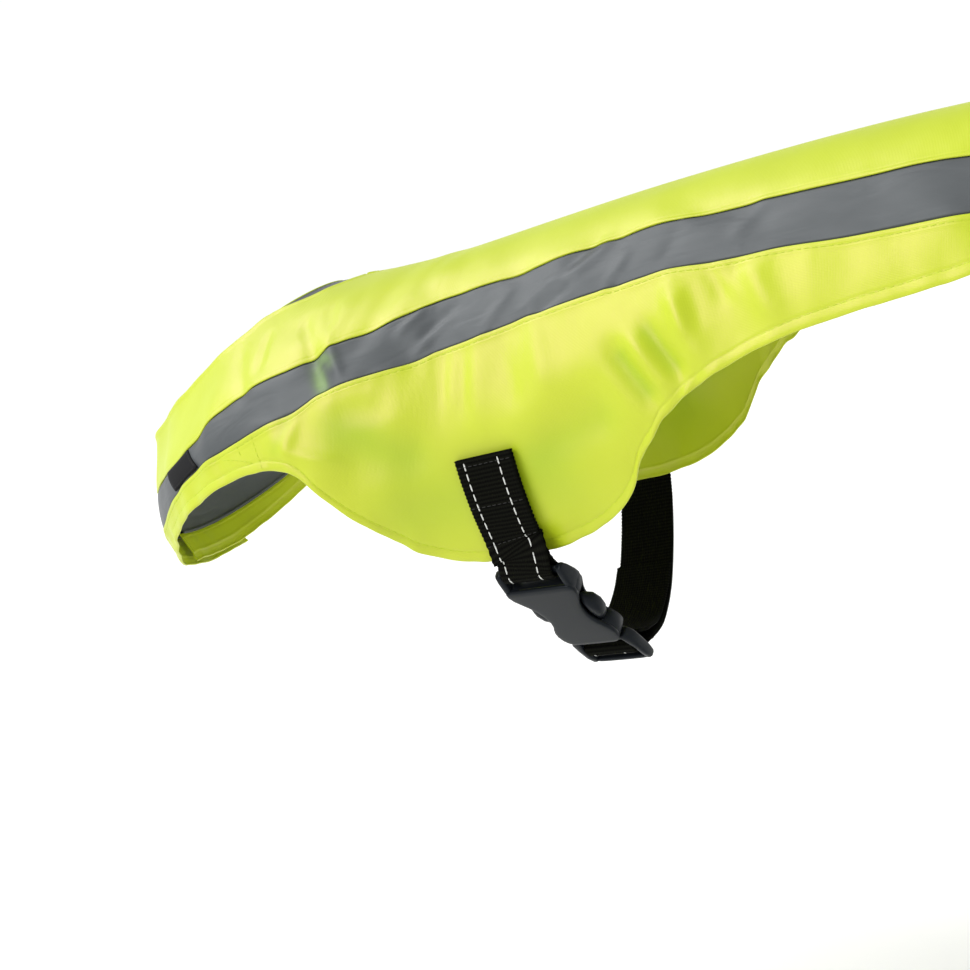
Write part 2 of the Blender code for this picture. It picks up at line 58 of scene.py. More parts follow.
body = {                  # form inside the vest; rings by number, bends from 1 on top to -1 below
    "evenRing": 2, "evenShare": 0.6,                # where the back runs on evenly, and how much
    "breastFlat": 4.2,    # how much flatter the breast is than the rings make it, in mm
    # the flat part ends at a ring and grows over some of one, and so with the bend
    "breastRing": 2.0, "breastRings": 0.8, "breastBend": 0.40, "breastBends": 0.50}

# rings round the torso, in mm: place, top x, top z, low x, low z, half width, share where widest
rings = (
    ("neckline", -75, 2.5, -184, -43, 39, 0.38),
    ("point of shoulder", -28, 0.2, -182, -98, 76, 0.48),
    ("elbow", -12, 0.2, -112, -153, 86, 0.50),
    ("girth", 0, 0, 0, -165, 73, 0.48),
    ("loin", 90, 3, 94, -162, 71, 0.44),
    ("hip", 180, 2, 180, -155, 67, 0.44),
    ("tail", 270, -4, 265, -145, 58, 0.45),
)

# seams of one half from the chest to the tail: place, then ring and angle of each line
seamNames = ("inner", "upper", "lower", "hem")
seams = (
    ("arm end", 0.00, 196, 0.50, 196, 0.84, 196, 1.08, 196),
    ("chest centre", 0.00, 180, 0.50, 180, 0.84, 180, 1.08, 180),
    ("chest round", 0.00, 158, 0.53, 154, 0.86, 151, 1.07, 152),
    ("chest side", 0.00, 136, 0.58, 131, 0.90, 126, 1.08, 130),
    ("label", 0.00, 118, 0.69, 113, 0.96, 108, 1.18, 110),
    ("arm", 0.00, 101, 0.75, 98, 1.05, 96, 1.32, 97),
    ("arm top", 0.00, 85, 0.78, 84.5, 1.19, 85.6, 1.50, 89),
    ("front dip", 0.00, 68, 0.89, 72, 1.37, 76.2, 1.70, 85),
    ("nape strip end", 0.00, 49, 1.11, 62, 1.57, 69.2, 1.93, 85),
    ("shoulder blade", 0.24, 29, 1.31, 54.2, 1.77, 62.2, 2.19, 91),
    ("nape centre", 0.36, 0, 1.62, 46.4, 2.20, 57.5, 2.48, 101),
    ("lobe front", 1.20, 0, 2.24, 41, 2.79, 57, 2.70, 111),
    ("lobe low front", 2.88, 0, 2.88, 40, 3.07, 56, 2.87, 116),
    ("strap front", 3.14, 0, 3.15, 39, 3.27, 56, 3.05, 118),
    ("strap rear", 3.36, 0, 3.36, 38, 3.47, 55, 3.31, 119),
    ("lobe low rear", 3.56, 0, 3.56, 38, 3.68, 55, 3.55, 117),
    ("lobe rear", 3.73, 0, 3.74, 37, 3.85, 55, 3.74, 111),
    ("lobe rise", 3.89, 0, 3.90, 37, 4.00, 55, 3.85, 103),
    ("rear dip", 4.06, 0, 4.07, 37, 4.16, 55, 4.02, 95),
    ("flank", 4.31, 0, 4.32, 38, 4.39, 57, 4.26, 89),
    ("flank rear", 4.58, 0, 4.59, 39, 4.64, 58, 4.56, 84),
    ("hip", 4.88, 0, 4.88, 40, 4.90, 60, 4.86, 82),
    ("rump", 5.36, 0, 5.35, 42, 5.34, 62, 5.30, 80),
    ("tail corner", 5.74, 0, 5.72, 43, 5.66, 63, 5.60, 76),
    ("tail end", 6.00, 0, 5.96, 43, 5.86, 63, 5.74, 70),
)

# creases seen from the side, in mm: place, start x and z, end x and z, width, then the height
# on the left and on the right
creases = (
    ("front dip ridge", -74, -48, -50, -78, 9, 1.6, 2.0),
    ("shoulder trough", -52, -24, -62, -52, 8, -1.6, -1.0),
    ("lobe front ridge", -18, -42, -24, -92, 14, 1.8, 1.4),
    ("lobe front trough", -42, -48, -40, -84, 12, -1.4, -1.8),
    ("lobe rear ridge", 48, -44, 44, -96, 14, 1.4, 1.9),
    ("arm ridge", -104, -26, -112, -58, 8, 1.0, 1.4),
    ("back crease", 24, -6, 52, -26, 9, -0.5, -1.4),
    ("back ridge", 40, -6, 70, -26, 9, 0.8, 0.8),
    ("rump ridge", 190, -12, 214, -42, 12, 1.2, 1.6),
    ("rear dip ridge", 84, -46, 97, -70, 4.0, 1.7, 1.4),
    ("rear dip low trough", 76, -47, 90, -74, 4.6, -2.5, -1.2),
    ("rear dip high trough", 91, -42, 103, -66, 3.8, -2.0, -1.3),
    ("flank ridge", 102, -30, 112, -66, 5.0, 1.7, 1.9),
    ("flank trough", 120, -34, 126, -60, 9, -1.0, -1.5),
    ("flank fold", 134, -32, 142, -54, 6, 0.9, -0.8),
    ("arm crease", -100, -13, -86, -33, 4.0, -1.0, -0.8),
    ("arm top crease", -83, -11, -81, -24, 3.0, -1.0, 0.7),
    ("neck crease", -64, -10, -55, -18, 2.5, -1.0, -0.7),
    ("shoulder nick", -52, -7, -45, -15, 3.0, -0.9, -0.6),
    ("arm light ridge", -55, -40, -66, -58, 3.2, 1.1, 0.7),
    ("arm foot ridge", -66, -57, -42, -66, 3.2, 0.9, 0.6),
    ("shoulder dent", -42, -45, -20, -51, 6.0, -1.5, -1.0),
    ("lobe front hollow", -42, -64, -8, -74, 11.0, -3.0, -1.2),
    ("lobe pleat one", 5, -34, 2, -54, 3.0, -0.4, 0.4),
    ("lobe pleat ridge", 9, -36, 6, -58, 3.2, 0.35, -0.4),
    ("lobe pleat two", 14, -38, 11, -60, 3.0, -0.4, 0.4),
    ("lobe highlight", 20, -36, 16, -70, 6.0, 1.0, 0.4),
    ("lobe light band", 44, -28, 48, -58, 5.0, 1.0, 0.7),
    ("lobe soft dent", 31, -40, 34, -62, 5.0, -0.7, -0.9),
    ("lobe rear hollow", 38, -80, 74, -69, 11.0, -3.0, -1.4),
    ("lobe low dent", -26, -88, 0, -100, 10.0, -1.0, -0.8),
    ("flank pleat", 104, -37, 107, -52, 3.2, 1.0, 0.8),
    ("flank pleat dip", 111, -34, 113, -50, 3.0, -0.5, -0.8),
    ("hip pleat dip", 118, -30, 124, -43, 3.0, -0.6, 0.7),
    ("hip pleat", 123, -30, 130, -44, 3.0, 0.5, -0.6),
    ("hip fold", 134, -32, 140, -50, 4.0, 0.7, -0.8),
    ("stripe dent", -55, -18, -44, -39, 3.8, -1.7, -1.1),
    ("stripe dent rim", -46, -18, -38, -34, 2.4, 1.0, 0.7),
    ("stripe fold one", -16, -25, -5, -20, 1.8, 0.8, -0.6),
    ("stripe fold two", -9, -34, 8, -25, 1.8, 0.9, 0.7),
    ("stripe fold two dip", -6, -29, 10, -21, 1.8, -0.8, 0.7),
    ("stripe fold three", 20, -35, 36, -18, 2.4, 0.8, -0.8),
    ("stripe fold four", 41, -27, 58, -19, 2.0, 1.0, 0.9),
    ("stripe fold four dip", 43, -32, 62, -23, 2.0, -0.9, -0.7),
    ("stripe fold five", 56, -19, 74, -10, 2.4, -1.0, 0.6),
    ("stripe fold five rim", 60, -22, 78, -13, 2.2, 0.9, -0.9),
    ("stripe fold six", 75, -30, 86, -18, 2.2, 0.8, 0.6),
    ("stripe fold seven", 99, -24, 108, -14, 3.0, -0.3, -0.6),
    ("stripe fold eight", 128, -22, 142, -12, 3.0, 0.7, -0.6),
    ("back long fold", 84, -4, 128, -22, 6.0, 0.8, -0.9),
    ("back long dip", 100, -3, 144, -20, 6.0, -0.8, 0.8),
    ("back crease low", -12, -8, 2, -19, 3.4, -0.35, -0.9),
    ("shoulder fold", -66, -2, -40, -12, 5.0, 0.7, 0.9),
    ("withers fill", -12, -28, 4, -5, 10.0, 2.4, 2.4),
    ("withers slope", 6, -28, 22, -5, 14.0, 1.0, 1.0),
    ("withers edge", -34, -26, -20, -3, 7.0, -1.0, -1.0),
)


def smoothRows(rows, place):
    # Catmull-Rom between the rows of a table
    last = len(rows) - 1
    low = np.clip(np.floor(place).astype(int), 0, last - 1)
    share = (place - low)[..., None]
    ends = np.vstack([2 * rows[0] - rows[1], rows, 2 * rows[-1] - rows[-2]])
    p0, p1, p2, p3 = (ends[low + k] for k in range(4))
    return 0.5 * (2 * p1 + (p2 - p0) * share + (2 * p0 - 5 * p1 + 4 * p2 - p3) * share ** 2
                  + (3 * p1 - p0 - 3 * p2 + p3) * share ** 3)


ringTable = np.array([row[1:] for row in rings], float)
seamTable = np.array([row[1:] for row in seams], float)
seamRow = {row[0]: number for number, row in enumerate(seams)}

# rows of vertices across the cloth, closer at both ends
rowsEach = 14             # for each row of the table
lastRow = len(seams) - 1
closeRows = np.array([0.012, 0.03, 0.055])
fullRows = np.unique(np.round(np.concatenate([
    np.arange(lastRow * rowsEach + 1) / rowsEach, closeRows, lastRow - closeRows]), 5))


def eased(share):
    # from 0 to 1 with a soft start and a soft end
    share = np.clip(share, 0, 1)
    return share * share * (3 - 2 * share)


def torsoPoints(ring, angle):
    # inside of the vest, in mm; negative angles are the left side
    topX, topZ, lowX, lowZ, halfWidth, widest = np.moveaxis(smoothRows(ringTable, ring), -1, 0)
    # the rings are close at the withers: an even run there keeps the back from folding
    even = body["evenRing"]
    share = np.clip(ring - even, 0, 1)
    early = (share ** 3 - share ** 2) * body["evenShare"]
    runX, runZ = (ringTable[even + 2, :2] - ringTable[even, :2]) / 2
    topX = topX - early * runX
    topZ = topZ - early * runZ
    turn = np.radians(angle)
    bend = np.cos(turn)
    down = np.where(bend < 0, widest - (1 - widest) * bend, widest * (1 - bend))
    flat = eased((body["breastRing"] - ring) / body["breastRings"])
    flat = flat * eased((-bend - body["breastBend"]) / body["breastBends"])
    return np.stack([topX + (lowX - topX) * down + body["breastFlat"] * flat,
                     halfWidth * np.sin(turn), topZ + (lowZ - topZ) * down], -1)


def torsoNormals(ring, angle):
    along = torsoPoints(ring + 0.01, angle) - torsoPoints(ring - 0.01, angle)
    around = torsoPoints(ring, angle + 0.5) - torsoPoints(ring, angle - 0.5)
    normal = np.cross(along, around)
    return normal / np.linalg.norm(normal, axis=-1, keepdims=True)


def torsoAt(spots):
    # points and outward directions at pairs of ring and angle
    ring, angle = spots[..., 0], spots[..., 1]
    return torsoPoints(ring, angle), torsoNormals(ring, angle)


def softNoise(u, v, seed):
    # smooth value noise from -1 to 1, one bump per unit
    values = np.random.default_rng(seed).uniform(-1, 1, (64, 64))
    lowU = np.floor(u).astype(int)
    lowV = np.floor(v).astype(int)
    partU = eased(u - lowU)
    partV = eased(v - lowV)

    def corner(a, b):
        return values[(lowU + a) % 64, (lowV + b) % 64]

    first = corner(0, 0) * (1 - partU) + corner(1, 0) * partU
    second = corner(0, 1) * (1 - partU) + corner(1, 1) * partU
    return first * (1 - partV) + second * partV


def creaseHeight(points):
    x, y, z = np.moveaxis(points, -1, 0)
    left = y < 0
    height = np.zeros_like(x)
    for _, startX, startZ, endX, endZ, width, leftHeight, rightHeight in creases:
        runX, runZ = endX - startX, endZ - startZ
        length = math.hypot(runX, runZ)
        along = ((x - startX) * runX + (z - startZ) * runZ) / length
        across = ((x - startX) * runZ - (z - startZ) * runX) / length
        middle = (along - length / 2) / (length / 2)
        fade = np.exp(-middle ** 4) * np.exp(-(across / width) ** 2)
        height += np.where(left, leftHeight, rightHeight) * fade
    return height * np.minimum(np.abs(y) / 20, 1.0)


def lapHeight(angle):
    # the left arm lies on the right one and on the fastener
    full = cloth["top"] + 2 * cloth["patchThick"] + 4 * cloth["gap"]
    start, over = cloth["lapAngles"]
    return full * eased((-angle - start) / over)


def seamLine(side, name, places):
    column = 2 * seamNames.index(name)
    line = smoothRows(seamTable[:, column:column + 2], places)
    line[:, 1] = side * np.maximum(line[:, 1], 0.0)
    if name == "inner":
        # the neckline crosses the nape square to the spine
        row = seamRow["shoulder blade"]
        before, after = seamTable[row:row + 2, 0]
        share = np.clip(places - row, 0, 1)
        rise = before + (after - before) * eased(share)
        rise += after / 2 * share * (1 - share) ** 2
        line[:, 0] = np.where((share > 0) & (share < 1), rise, line[:, 0])
    return line


def lineLengths(points):
    steps = np.linalg.norm(np.diff(points, axis=0), axis=-1)
    return np.concatenate([np.zeros((1,) + steps.shape[1:]), np.cumsum(steps, axis=0)])


class clothArea:
    # cloth between two seam lines of one half: start and end of each row, and how wide it is
    def __init__(self, side, first, second, edges, top, seed):
        self.side = side
        self.edges = edges
        self.top = top
        self.seed = seed
        self.places = fullRows
        self.start = seamLine(side, first, self.places)
        self.end = seamLine(side, second, self.places)
        if edges[0] == "under":
            wide = np.linalg.norm(torsoPoints(self.start[:, 0], self.start[:, 1])
                                  - torsoPoints(self.end[:, 0], self.end[:, 1]), axis=1)
            reach = (self.end - self.start) * (cloth["allowance"] / wide)[:, None]
            self.start = self.start - reach
            self.end = self.end + reach
        shares = np.linspace(0, 1, 33)
        fine = self.start[:, None] + (self.end - self.start)[:, None] * shares[None, :, None]
        points = torsoPoints(fine[..., 0], fine[..., 1])
        self.shares = shares
        self.widths = lineLengths(np.moveaxis(points, 1, 0)).T
        middle = points[:, len(shares) // 2]
        self.along = lineLengths(middle)
        self.endAlong = self.along[-1]
        # the hem is lumpiest where the lobe rises to the flank
        self.lumpsAt = np.interp(seamRow["rear dip"], self.places, self.along)

    def spots(self, distance, fromEnd=False):
        # places at a distance in mm from one of the seam lines, row by row
        total = self.widths[:, -1]
        distance = np.minimum(np.broadcast_to(distance, total.shape), total)
        if fromEnd:
            distance = total - distance
        share = np.array([np.interp(d, w, self.shares) for d, w in zip(distance, self.widths)])
        return self.start + (self.end - self.start) * share[:, None], distance, total - distance

    def height(self, spots, fromStart, fromEnd, along):
        points = torsoPoints(spots[..., 0], spots[..., 1])
        height = self.top + creaseHeight(points)
        if self.side < 0:
            height = height + lapHeight(spots[..., 1])
        uneven = np.zeros_like(height)
        for number, (size, long, longShift, wide, wideShift) in enumerate(cloth["waves"]):
            uneven += size * softNoise(along / long + longShift, fromStart / wide + wideShift,
                                       self.seed + number)
        # sewn edges rise and fall together with the piece beside them
        size, long, reach = cloth["seamWave"]
        sewn = np.zeros_like(height)
        for kind, distance in zip(self.edges, (fromStart, fromEnd)):
            if kind in ("fold", "lap", "under"):
                away = distance - cloth["allowance"] * (kind == "under")
                sewn = np.maximum(sewn, np.exp(-(np.maximum(away, 0) / reach) ** 2))
        shared = size * softNoise(points[..., 0] / long + 30, points[..., 0] * 0, 5 - self.side)
        height += uneven * (1 - sewn) + shared * sewn
        toRowEnds = np.minimum(along, self.endAlong - along)
        for kind, distance in zip(self.edges, (fromStart, fromEnd, toRowEnds)):
            height += edgeShape(kind, distance, along, self.seed)
        if self.edges[1] == "hem":
            size, long, reach, spread = cloth["hemLumps"]
            lumps = size * softNoise(along / long, fromEnd / 30, self.seed + 8)
            height += lumps * np.exp(-fromEnd / reach - ((along - self.lumpsAt) / spread) ** 2)
        return height

    def surface(self, spots, fromStart, fromEnd, along, lift=0.0):
        base, normal = torsoAt(spots)
        height = self.height(spots, fromStart, fromEnd, along) + lift
        return base + normal * height[..., None], normal


# kinds of edge, in mm from it. columns: columns of vertices close to it; steps: height, place and
# steepness of a fold; bumps: height, place and width of a roll or a groove; waves: height, length
# along and across, number for the seed, reach, power of the fade, and over how many mm they start
foldColumns = (0.0, 0.18, 0.5, 1.1, 1.7, 2.1, 2.5, 3.1, 4.2)
edgeForms = {
    "hem": {"columns": (0.0, 0.18, 0.5, 1.0, 1.7, 2.5, 3.4, 4.0, 4.6, 5.2, 6.2),
            "steps": ((0.35, cloth["hemStitch"] + 0.5, 4),),
            "bumps": ((0.35, 1.4, 1.3), (-0.5, cloth["hemStitch"], 0.55)),
            "waves": ((0.5, 5.5, 30, 2, 5, 1, 0), (0.45, 8, 60, 3, 15, 2, 0))},
    "rolled": {"bumps": ((0.45, 1.6, 1.6),), "waves": ((0.35, 10, 60, 3, 16, 2, 0),)},
    "fold": {"columns": foldColumns, "steps": ((0.45, 3.0, 5),),
             "bumps": ((-0.35, cloth["seamStitch"], 0.4),),
             "waves": ((0.30, 6, 40, 4, 10, 2, 2), (0.3, 11, 70, 6, 22, 2, 4))},
    "lap": {"columns": foldColumns, "steps": ((0.15, 3.0, 5),),
            "bumps": ((-0.16, cloth["seamStitch"], 0.4),),
            "waves": ((0.25, 9, 40, 4, 14, 2, 2),)},
    "under": {"hidden": cloth["allowance"], "columns": (0.0, 0.5, 1.1, 1.3, 1.5, 1.7, 2.0, 2.6),
              "steps": ((-0.75, 0.35, 9),), "waves": ((0.22, 7, 30, 5, 6, 1, 2),)},
    "none": {}}


def edgeShape(kind, distance, along, seed):
    # height that the fold, roll or stitching of an edge adds, in mm
    form = edgeForms[kind]
    away = np.maximum(distance - form.get("hidden", 0), 0)
    height = np.zeros_like(away)
    for size, place, steepness in form.get("steps", ()):
        height += size / (1 + np.exp((away - place) * steepness))
    for size, place, width in form.get("bumps", ()):
        height += size * np.exp(-((away - place) / width) ** 2)
    for size, long, wide, number, reach, power, start in form.get("waves", ()):
        wave = size * softNoise(along / long, away / wide, seed + number)
        wave *= np.exp(-(away / reach) ** power)
        height += wave * np.minimum(away / start, 1) if start else wave
    return height


def roundedRim(kind, distance, thick):
    # share of half the thickness left at a distance from a cut or folded edge
    if kind == "none":
        return np.ones_like(distance)
    over, kept = cloth["rim"]
    reach = np.clip(distance / (thick * over), 0, 1)
    return kept + (1 - kept) * np.sqrt(1 - (1 - reach) ** 2)


def clothColumns(area, width, kinds, middleCount, gap):
    # columns of vertices: close together near both edges and even between them
    startSteps, endSteps = (np.array(edgeForms[kind].get("columns", (0.0,))) for kind in kinds)
    crowd = np.minimum(1, width / (startSteps[-1] + endSteps[-1] + 3))[:, None]
    low = startSteps[None] * crowd
    high = width[:, None] - endSteps[None, ::-1] * crowd
    shares = np.linspace(0, 1, middleCount + 2)[None, 1:-1]
    middle = low[:, -1:] + (high[:, :1] - low[:, -1:]) * shares
    distance = np.concatenate([low, middle, high], axis=1)
    spots = np.stack([area.spots(column + gap)[0] for column in distance.T], axis=1)
    along = np.broadcast_to(area.along[:, None], distance.shape)
    return spots, distance, width[:, None] - distance, along


def shellGrid(outer, normal, thick, left, along, distance):
    # outside and inside of the cloth, thinner where its rim is rounded, and its UVs in mm
    half = thick / 2
    return (outer - normal * (half * (1 - left))[..., None],
            outer - normal * (half * (1 + left))[..., None], np.stack([along, distance], -1))


def areaGrid(area, gaps, middleCount):
    width = area.widths[:, -1] - gaps[0] - gaps[1]
    if area.edges[1] == "hem":
        reach, long, away = cloth["hemWander"]
        uneven = away + np.exp(-((area.along - area.lumpsAt) / cloth["hemLumps"][3]) ** 2)
        noise = softNoise(area.along / long, area.along * 0, area.seed + 9)
        width = width - reach * uneven * (1 + noise)
    spots, distance, fromEnd, along = clothColumns(area, width, area.edges[:2], middleCount,
                                                   gaps[0])
    outer, normal = area.surface(spots, distance, fromEnd, along)
    left = np.ones_like(distance)
    toRowEnds = np.minimum(along, area.endAlong - along)
    for kind, away in zip(area.edges, (distance, fromEnd, toRowEnds)):
        left = np.minimum(left, roundedRim(kind, away, cloth["thick"]))
    return shellGrid(outer, normal, cloth["thick"], left, along, distance)


def linearColor(code):
    parts = [int(code[k:k + 2], 16) / 255 for k in (1, 3, 5)]
    return tuple(c / 12.92 if c < 0.04045 else ((c + 0.055) / 1.055) ** 2.4
                 for c in parts) + (1.0,)


def addNode(tree, kind, inputs=None, **settings):
    # inputs go by socket name or number, each a value or another node's output
    node = tree.nodes.new(kind)
    for name, value in settings.items():
        setattr(node, name, value)
    for name, value in (inputs or {}).items():
        if isinstance(value, bpy.types.NodeSocket):
            tree.links.new(value, node.inputs[name])
        else:
            node.inputs[name].default_value = value
    return node


def newMaterial(name, look):
    material = bpy.data.materials.new(name)
    material.use_nodes = True
    shader = material.node_tree.nodes["Principled BSDF"]
    shader.inputs["Base Color"].default_value = linearColor(look["color"])
    shader.inputs["Roughness"].default_value = look["roughness"]
    for socket, value in look.get("sockets", {}).items():
        shader.inputs[socket].default_value = value
    return material, material.node_tree, shader


def finishPiece(name, meshData, material, slot, replaced=()):
    mesh = bpy.data.meshes.new(name)
    meshData.to_mesh(mesh)
    meshData.free()
    mesh.shade_smooth()
    # painted light by place: painted shade in the cloth's hollows and a painted reflection of the
    # cloth in the tape
    paintedLightTables = {"reflective_tape": tapePaintedReflection, "hi_vis_polyester": clothPaintedShade}
    if slot in paintedLightTables:
        places = np.array([vert.co for vert in mesh.vertices]) / mm
        paintedLight = np.zeros(len(places))
        for startX, startZ, endX, endZ, width, strength in paintedLightTables[slot]:
            run = np.array([endX - startX, endZ - startZ])
            offset = places[:, (0, 2)] - (startX, startZ)
            share = np.clip(offset @ run / (run @ run), 0, 1)
            away = np.linalg.norm(offset - share[:, None] * run, axis=1)
            paintedLight += strength * np.exp(-(away / width) ** 2)
        mesh.attributes.new("paintedLight", "FLOAT", "POINT").data.foreach_set(
            "value", np.minimum(paintedLight, 1).astype(np.float32))
    mesh.materials.append(material)
    piece = bpy.data.objects.new(name, mesh)
    bpy.context.collection.objects.link(piece)
    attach(piece, "root")
    if replaced:
        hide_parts(*replaced)
    return piece


def shellMesh(grids):
    outer = np.concatenate([grid[0].reshape(-1, 3) for grid in grids])
    inner = np.concatenate([grid[1].reshape(-1, 3) for grid in grids])
    uv = np.concatenate([grid[2].reshape(-1, 2) for grid in grids])
    _, first, number = np.unique(np.round(outer, 4), axis=0, return_index=True,
                                 return_inverse=True)
    number = number.reshape(-1)
    quads = []
    offset = 0
    for grid in grids:
        rows, columns = grid[0].shape[:2]
        ids = np.arange(rows * columns).reshape(rows, columns) + offset
        offset += rows * columns
        quads += np.stack([ids[:-1, :-1], ids[:-1, 1:], ids[1:, 1:], ids[1:, :-1]],
                          -1).reshape(-1, 4).tolist()
    meshData = bmesh.new()
    layer = meshData.loops.layers.uv.new("uv")
    high = [meshData.verts.new(outer[k] * mm) for k in first]
    low = [meshData.verts.new(inner[k] * mm) for k in first]
    edgeUses = {}

    def addFace(verts, marks):
        face = meshData.faces.new(verts)
        for loop, mark in zip(face.loops, marks):
            loop[layer].uv = uv[mark]

    for quad in quads:
        ids = [number[corner] for corner in quad]
        if len(set(ids)) < 4:
            keep = [k for k in range(4) if ids[k] not in ids[:k]]
            if len(keep) < 3:
                continue
            ids = [ids[k] for k in keep]
            quad = [quad[k] for k in keep]
        addFace([high[k] for k in ids], quad)
        addFace([low[k] for k in reversed(ids)], quad[::-1])
        for start, end, markStart, markEnd in zip(ids, ids[1:] + ids[:1],
                                                  quad, quad[1:] + quad[:1]):
            edgeUses.setdefault(frozenset((start, end)), []).append(
                (start, end, markStart, markEnd))
    for uses in edgeUses.values():
        if len(uses) == 1:
            start, end, markStart, markEnd = uses[0]
            addFace((high[start], low[start], low[end], high[end]),
                    (markStart, markStart, markEnd, markEnd))
    bmesh.ops.recalc_face_normals(meshData, faces=meshData.faces)
    return meshData


def joinLoops(meshData, loops):
    # faces between rings of vertices, closed at both ends
    for loop, following in zip(loops, loops[1:]):
        for k in range(len(loop)):
            n = (k + 1) % len(loop)
            meshData.faces.new((loop[k], loop[n], following[n], following[k]))
    meshData.faces.new(loops[0][::-1])
    meshData.faces.new(loops[-1])


def threadMesh(meshData, path, radius, sides=6):
    # tube along a short path, thinner where it goes into the cloth at both ends
    direction = path[-1] - path[0]
    direction = direction / np.linalg.norm(direction)
    helper = np.array([0.3, 0.5, 0.81])
    across = np.cross(direction, helper)
    across = across / np.linalg.norm(across)
    up = np.cross(direction, across)
    turns = np.arange(sides) * 2 * math.pi / sides
    loops = []
    for number, point in enumerate(path):
        size = radius * (0.45 if number in (0, len(path) - 1) else 1.0)
        loops.append([meshData.verts.new((point + size * (math.cos(t) * across
                                                          + math.sin(t) * up)) * mm)
                      for t in turns])
    joinLoops(meshData, loops)


def stitchesAlong(meshData, path, stitch, gap, radius):
    lengths = lineLengths(path)
    position = gap
    while position + stitch < lengths[-1]:
        marks = position + stitch * np.array([0.0, 0.14, 0.5, 0.86, 1.0])
        points = np.stack([np.interp(marks, lengths, path[:, axis]) for axis in range(3)], -1)
        threadMesh(meshData, points, radius)
        position += stitch + gap


threadLift = 0.04         # mm from the cloth to the middle of its thread


def seamPath(area, distance, fromEnd=False):
    spots, fromStart, toEnd = area.spots(distance, fromEnd)
    return area.surface(spots, fromStart, toEnd, area.along, threadLift)[0]


def panelPath(area, start, end, count=40):
    # straight row of stitches over a side panel; start and end give a row place and a share
    places = np.linspace(start[0], end[0], count)
    shares = np.linspace(start[1], end[1], count)
    lower = seamLine(area.side, "lower", places)
    hem = seamLine(area.side, "hem", places)
    spots = lower + (hem - lower) * shares[:, None]
    total = np.interp(places, area.places, area.widths[:, -1])
    along = np.interp(places, area.places, area.along)
    return area.surface(spots, total * shares, total * (1 - shares), along, threadLift)[0]


# materials
polyester = {
    "color": "#ABBE12", "secondColor": "#B5C819", "roughness": 0.42,
    "sockets": {"Specular IOR Level": 0.68, "Specular Tint": (1.0, 0.28, 0.7, 1.0), "IOR": 1.57},
    "threadMm": 0.55,       # real threads are about 0.2 mm, too fine to show
    "threadHeightMm": 0.02, "rippleMm": (7.0, 16.0), "rippleHeightMm": 0.25, "cloudMm": 38.0,
    "paintedShadeColor": "#93B400"}
# painted shade in the cloth's hollows: start x and z, end x and z, width, in mm, and strength
clothPaintedShade = ((-40, -57, -17, -70, 10.0, 0.62), (-44, -50, -30, -56, 6.0, 0.2),
                (38, -82, 66, -74, 8.0, 0.4), (80, -53, 87, -67, 3.6, 0.7),
                (92, -46, 100, -60, 3.2, 0.6), (-20, -92, 40, -92, 16.0, 0.5),
                (-62, -43, -70, -55, 3.0, 0.3))
# fluorescent yellow polyester: a broad satin sheen that goes paler where it faces the light
yellow, tree, shader = newMaterial("hi_vis_polyester", polyester)
coordinates = addNode(tree, "ShaderNodeTexCoord").outputs        # UVs are in mm
cloudy = addNode(tree, "ShaderNodeTexNoise", {
    "Vector": coordinates["Object"], "Scale": 1000 / polyester["cloudMm"], "Detail": 1.0})
twoColors = addNode(tree, "ShaderNodeMix", {
    0: cloudy.outputs["Fac"], 6: linearColor(polyester["color"]),
    7: linearColor(polyester["secondColor"])}, data_type="RGBA")
# painted shade: in its hollows the fluorescent cloth is mixed to a deeper, greener yellow
paintedLight = addNode(tree, "ShaderNodeAttribute", attribute_name="paintedLight")
paintedShadeMix = addNode(tree, "ShaderNodeMix", {
    0: paintedLight.outputs["Fac"], 6: twoColors.outputs[2], 7: linearColor(polyester["paintedShadeColor"])},
    data_type="RGBA")
tree.links.new(paintedShadeMix.outputs[2], shader.inputs["Base Color"])
warp, weft = (addNode(tree, "ShaderNodeTexWave", {
    "Vector": coordinates["UV"], "Scale": math.pi / 10 / polyester["threadMm"]},
    bands_direction=way) for way in ("X", "Y"))
weave = addNode(tree, "ShaderNodeMath", {0: warp.outputs["Fac"], 1: weft.outputs["Fac"]},
                operation="ADD")
weaveBump = addNode(tree, "ShaderNodeBump", {
    "Height": weave.outputs[0], "Distance": polyester["threadHeightMm"] * mm})
rippleWidth, rippleLength = polyester["rippleMm"]
rippleMap = addNode(tree, "ShaderNodeMapping", {
    "Vector": coordinates["UV"], "Scale": (1 / rippleWidth, 1 / rippleLength, 1)})
ripple = addNode(tree, "ShaderNodeTexNoise", {
    "Vector": rippleMap.outputs[0], "Scale": 1.0, "Detail": 2.0})
rippleBump = addNode(tree, "ShaderNodeBump", {
    "Height": ripple.outputs["Fac"], "Distance": polyester["rippleHeightMm"] * mm,
    "Strength": 0.6, "Normal": weaveBump.outputs[0]})
tree.links.new(rippleBump.outputs[0], shader.inputs["Normal"])

tape = {
    "color": "#484C4E", "secondColor": "#55585A", "roughness": 0.46,
    "sockets": {"Metallic": 0.1, "Specular IOR Level": 0.22, "IOR": 1.5},
    "beadMm": 0.5,          # real glass beads are about 0.06 mm, too fine to show
    "beadHeightMm": 0.012, "wrinkleMm": (22.0, 7.0), "wrinkleHeightMm": 0.8,
    "cloudMm": (34.0, 10.0), "paintedReflectionColor": "#84A558"}
# painted reflection of the yellow cloth in the tape: start x and z, end x and z, width, in mm,
# and strength
tapePaintedReflection = ((-53, -20, -47, -36, 3.0, 0.8), (-50, -22, -43, -27, 2.4, 0.6),
             (-49, -31, -45, -38, 2.0, 0.6))
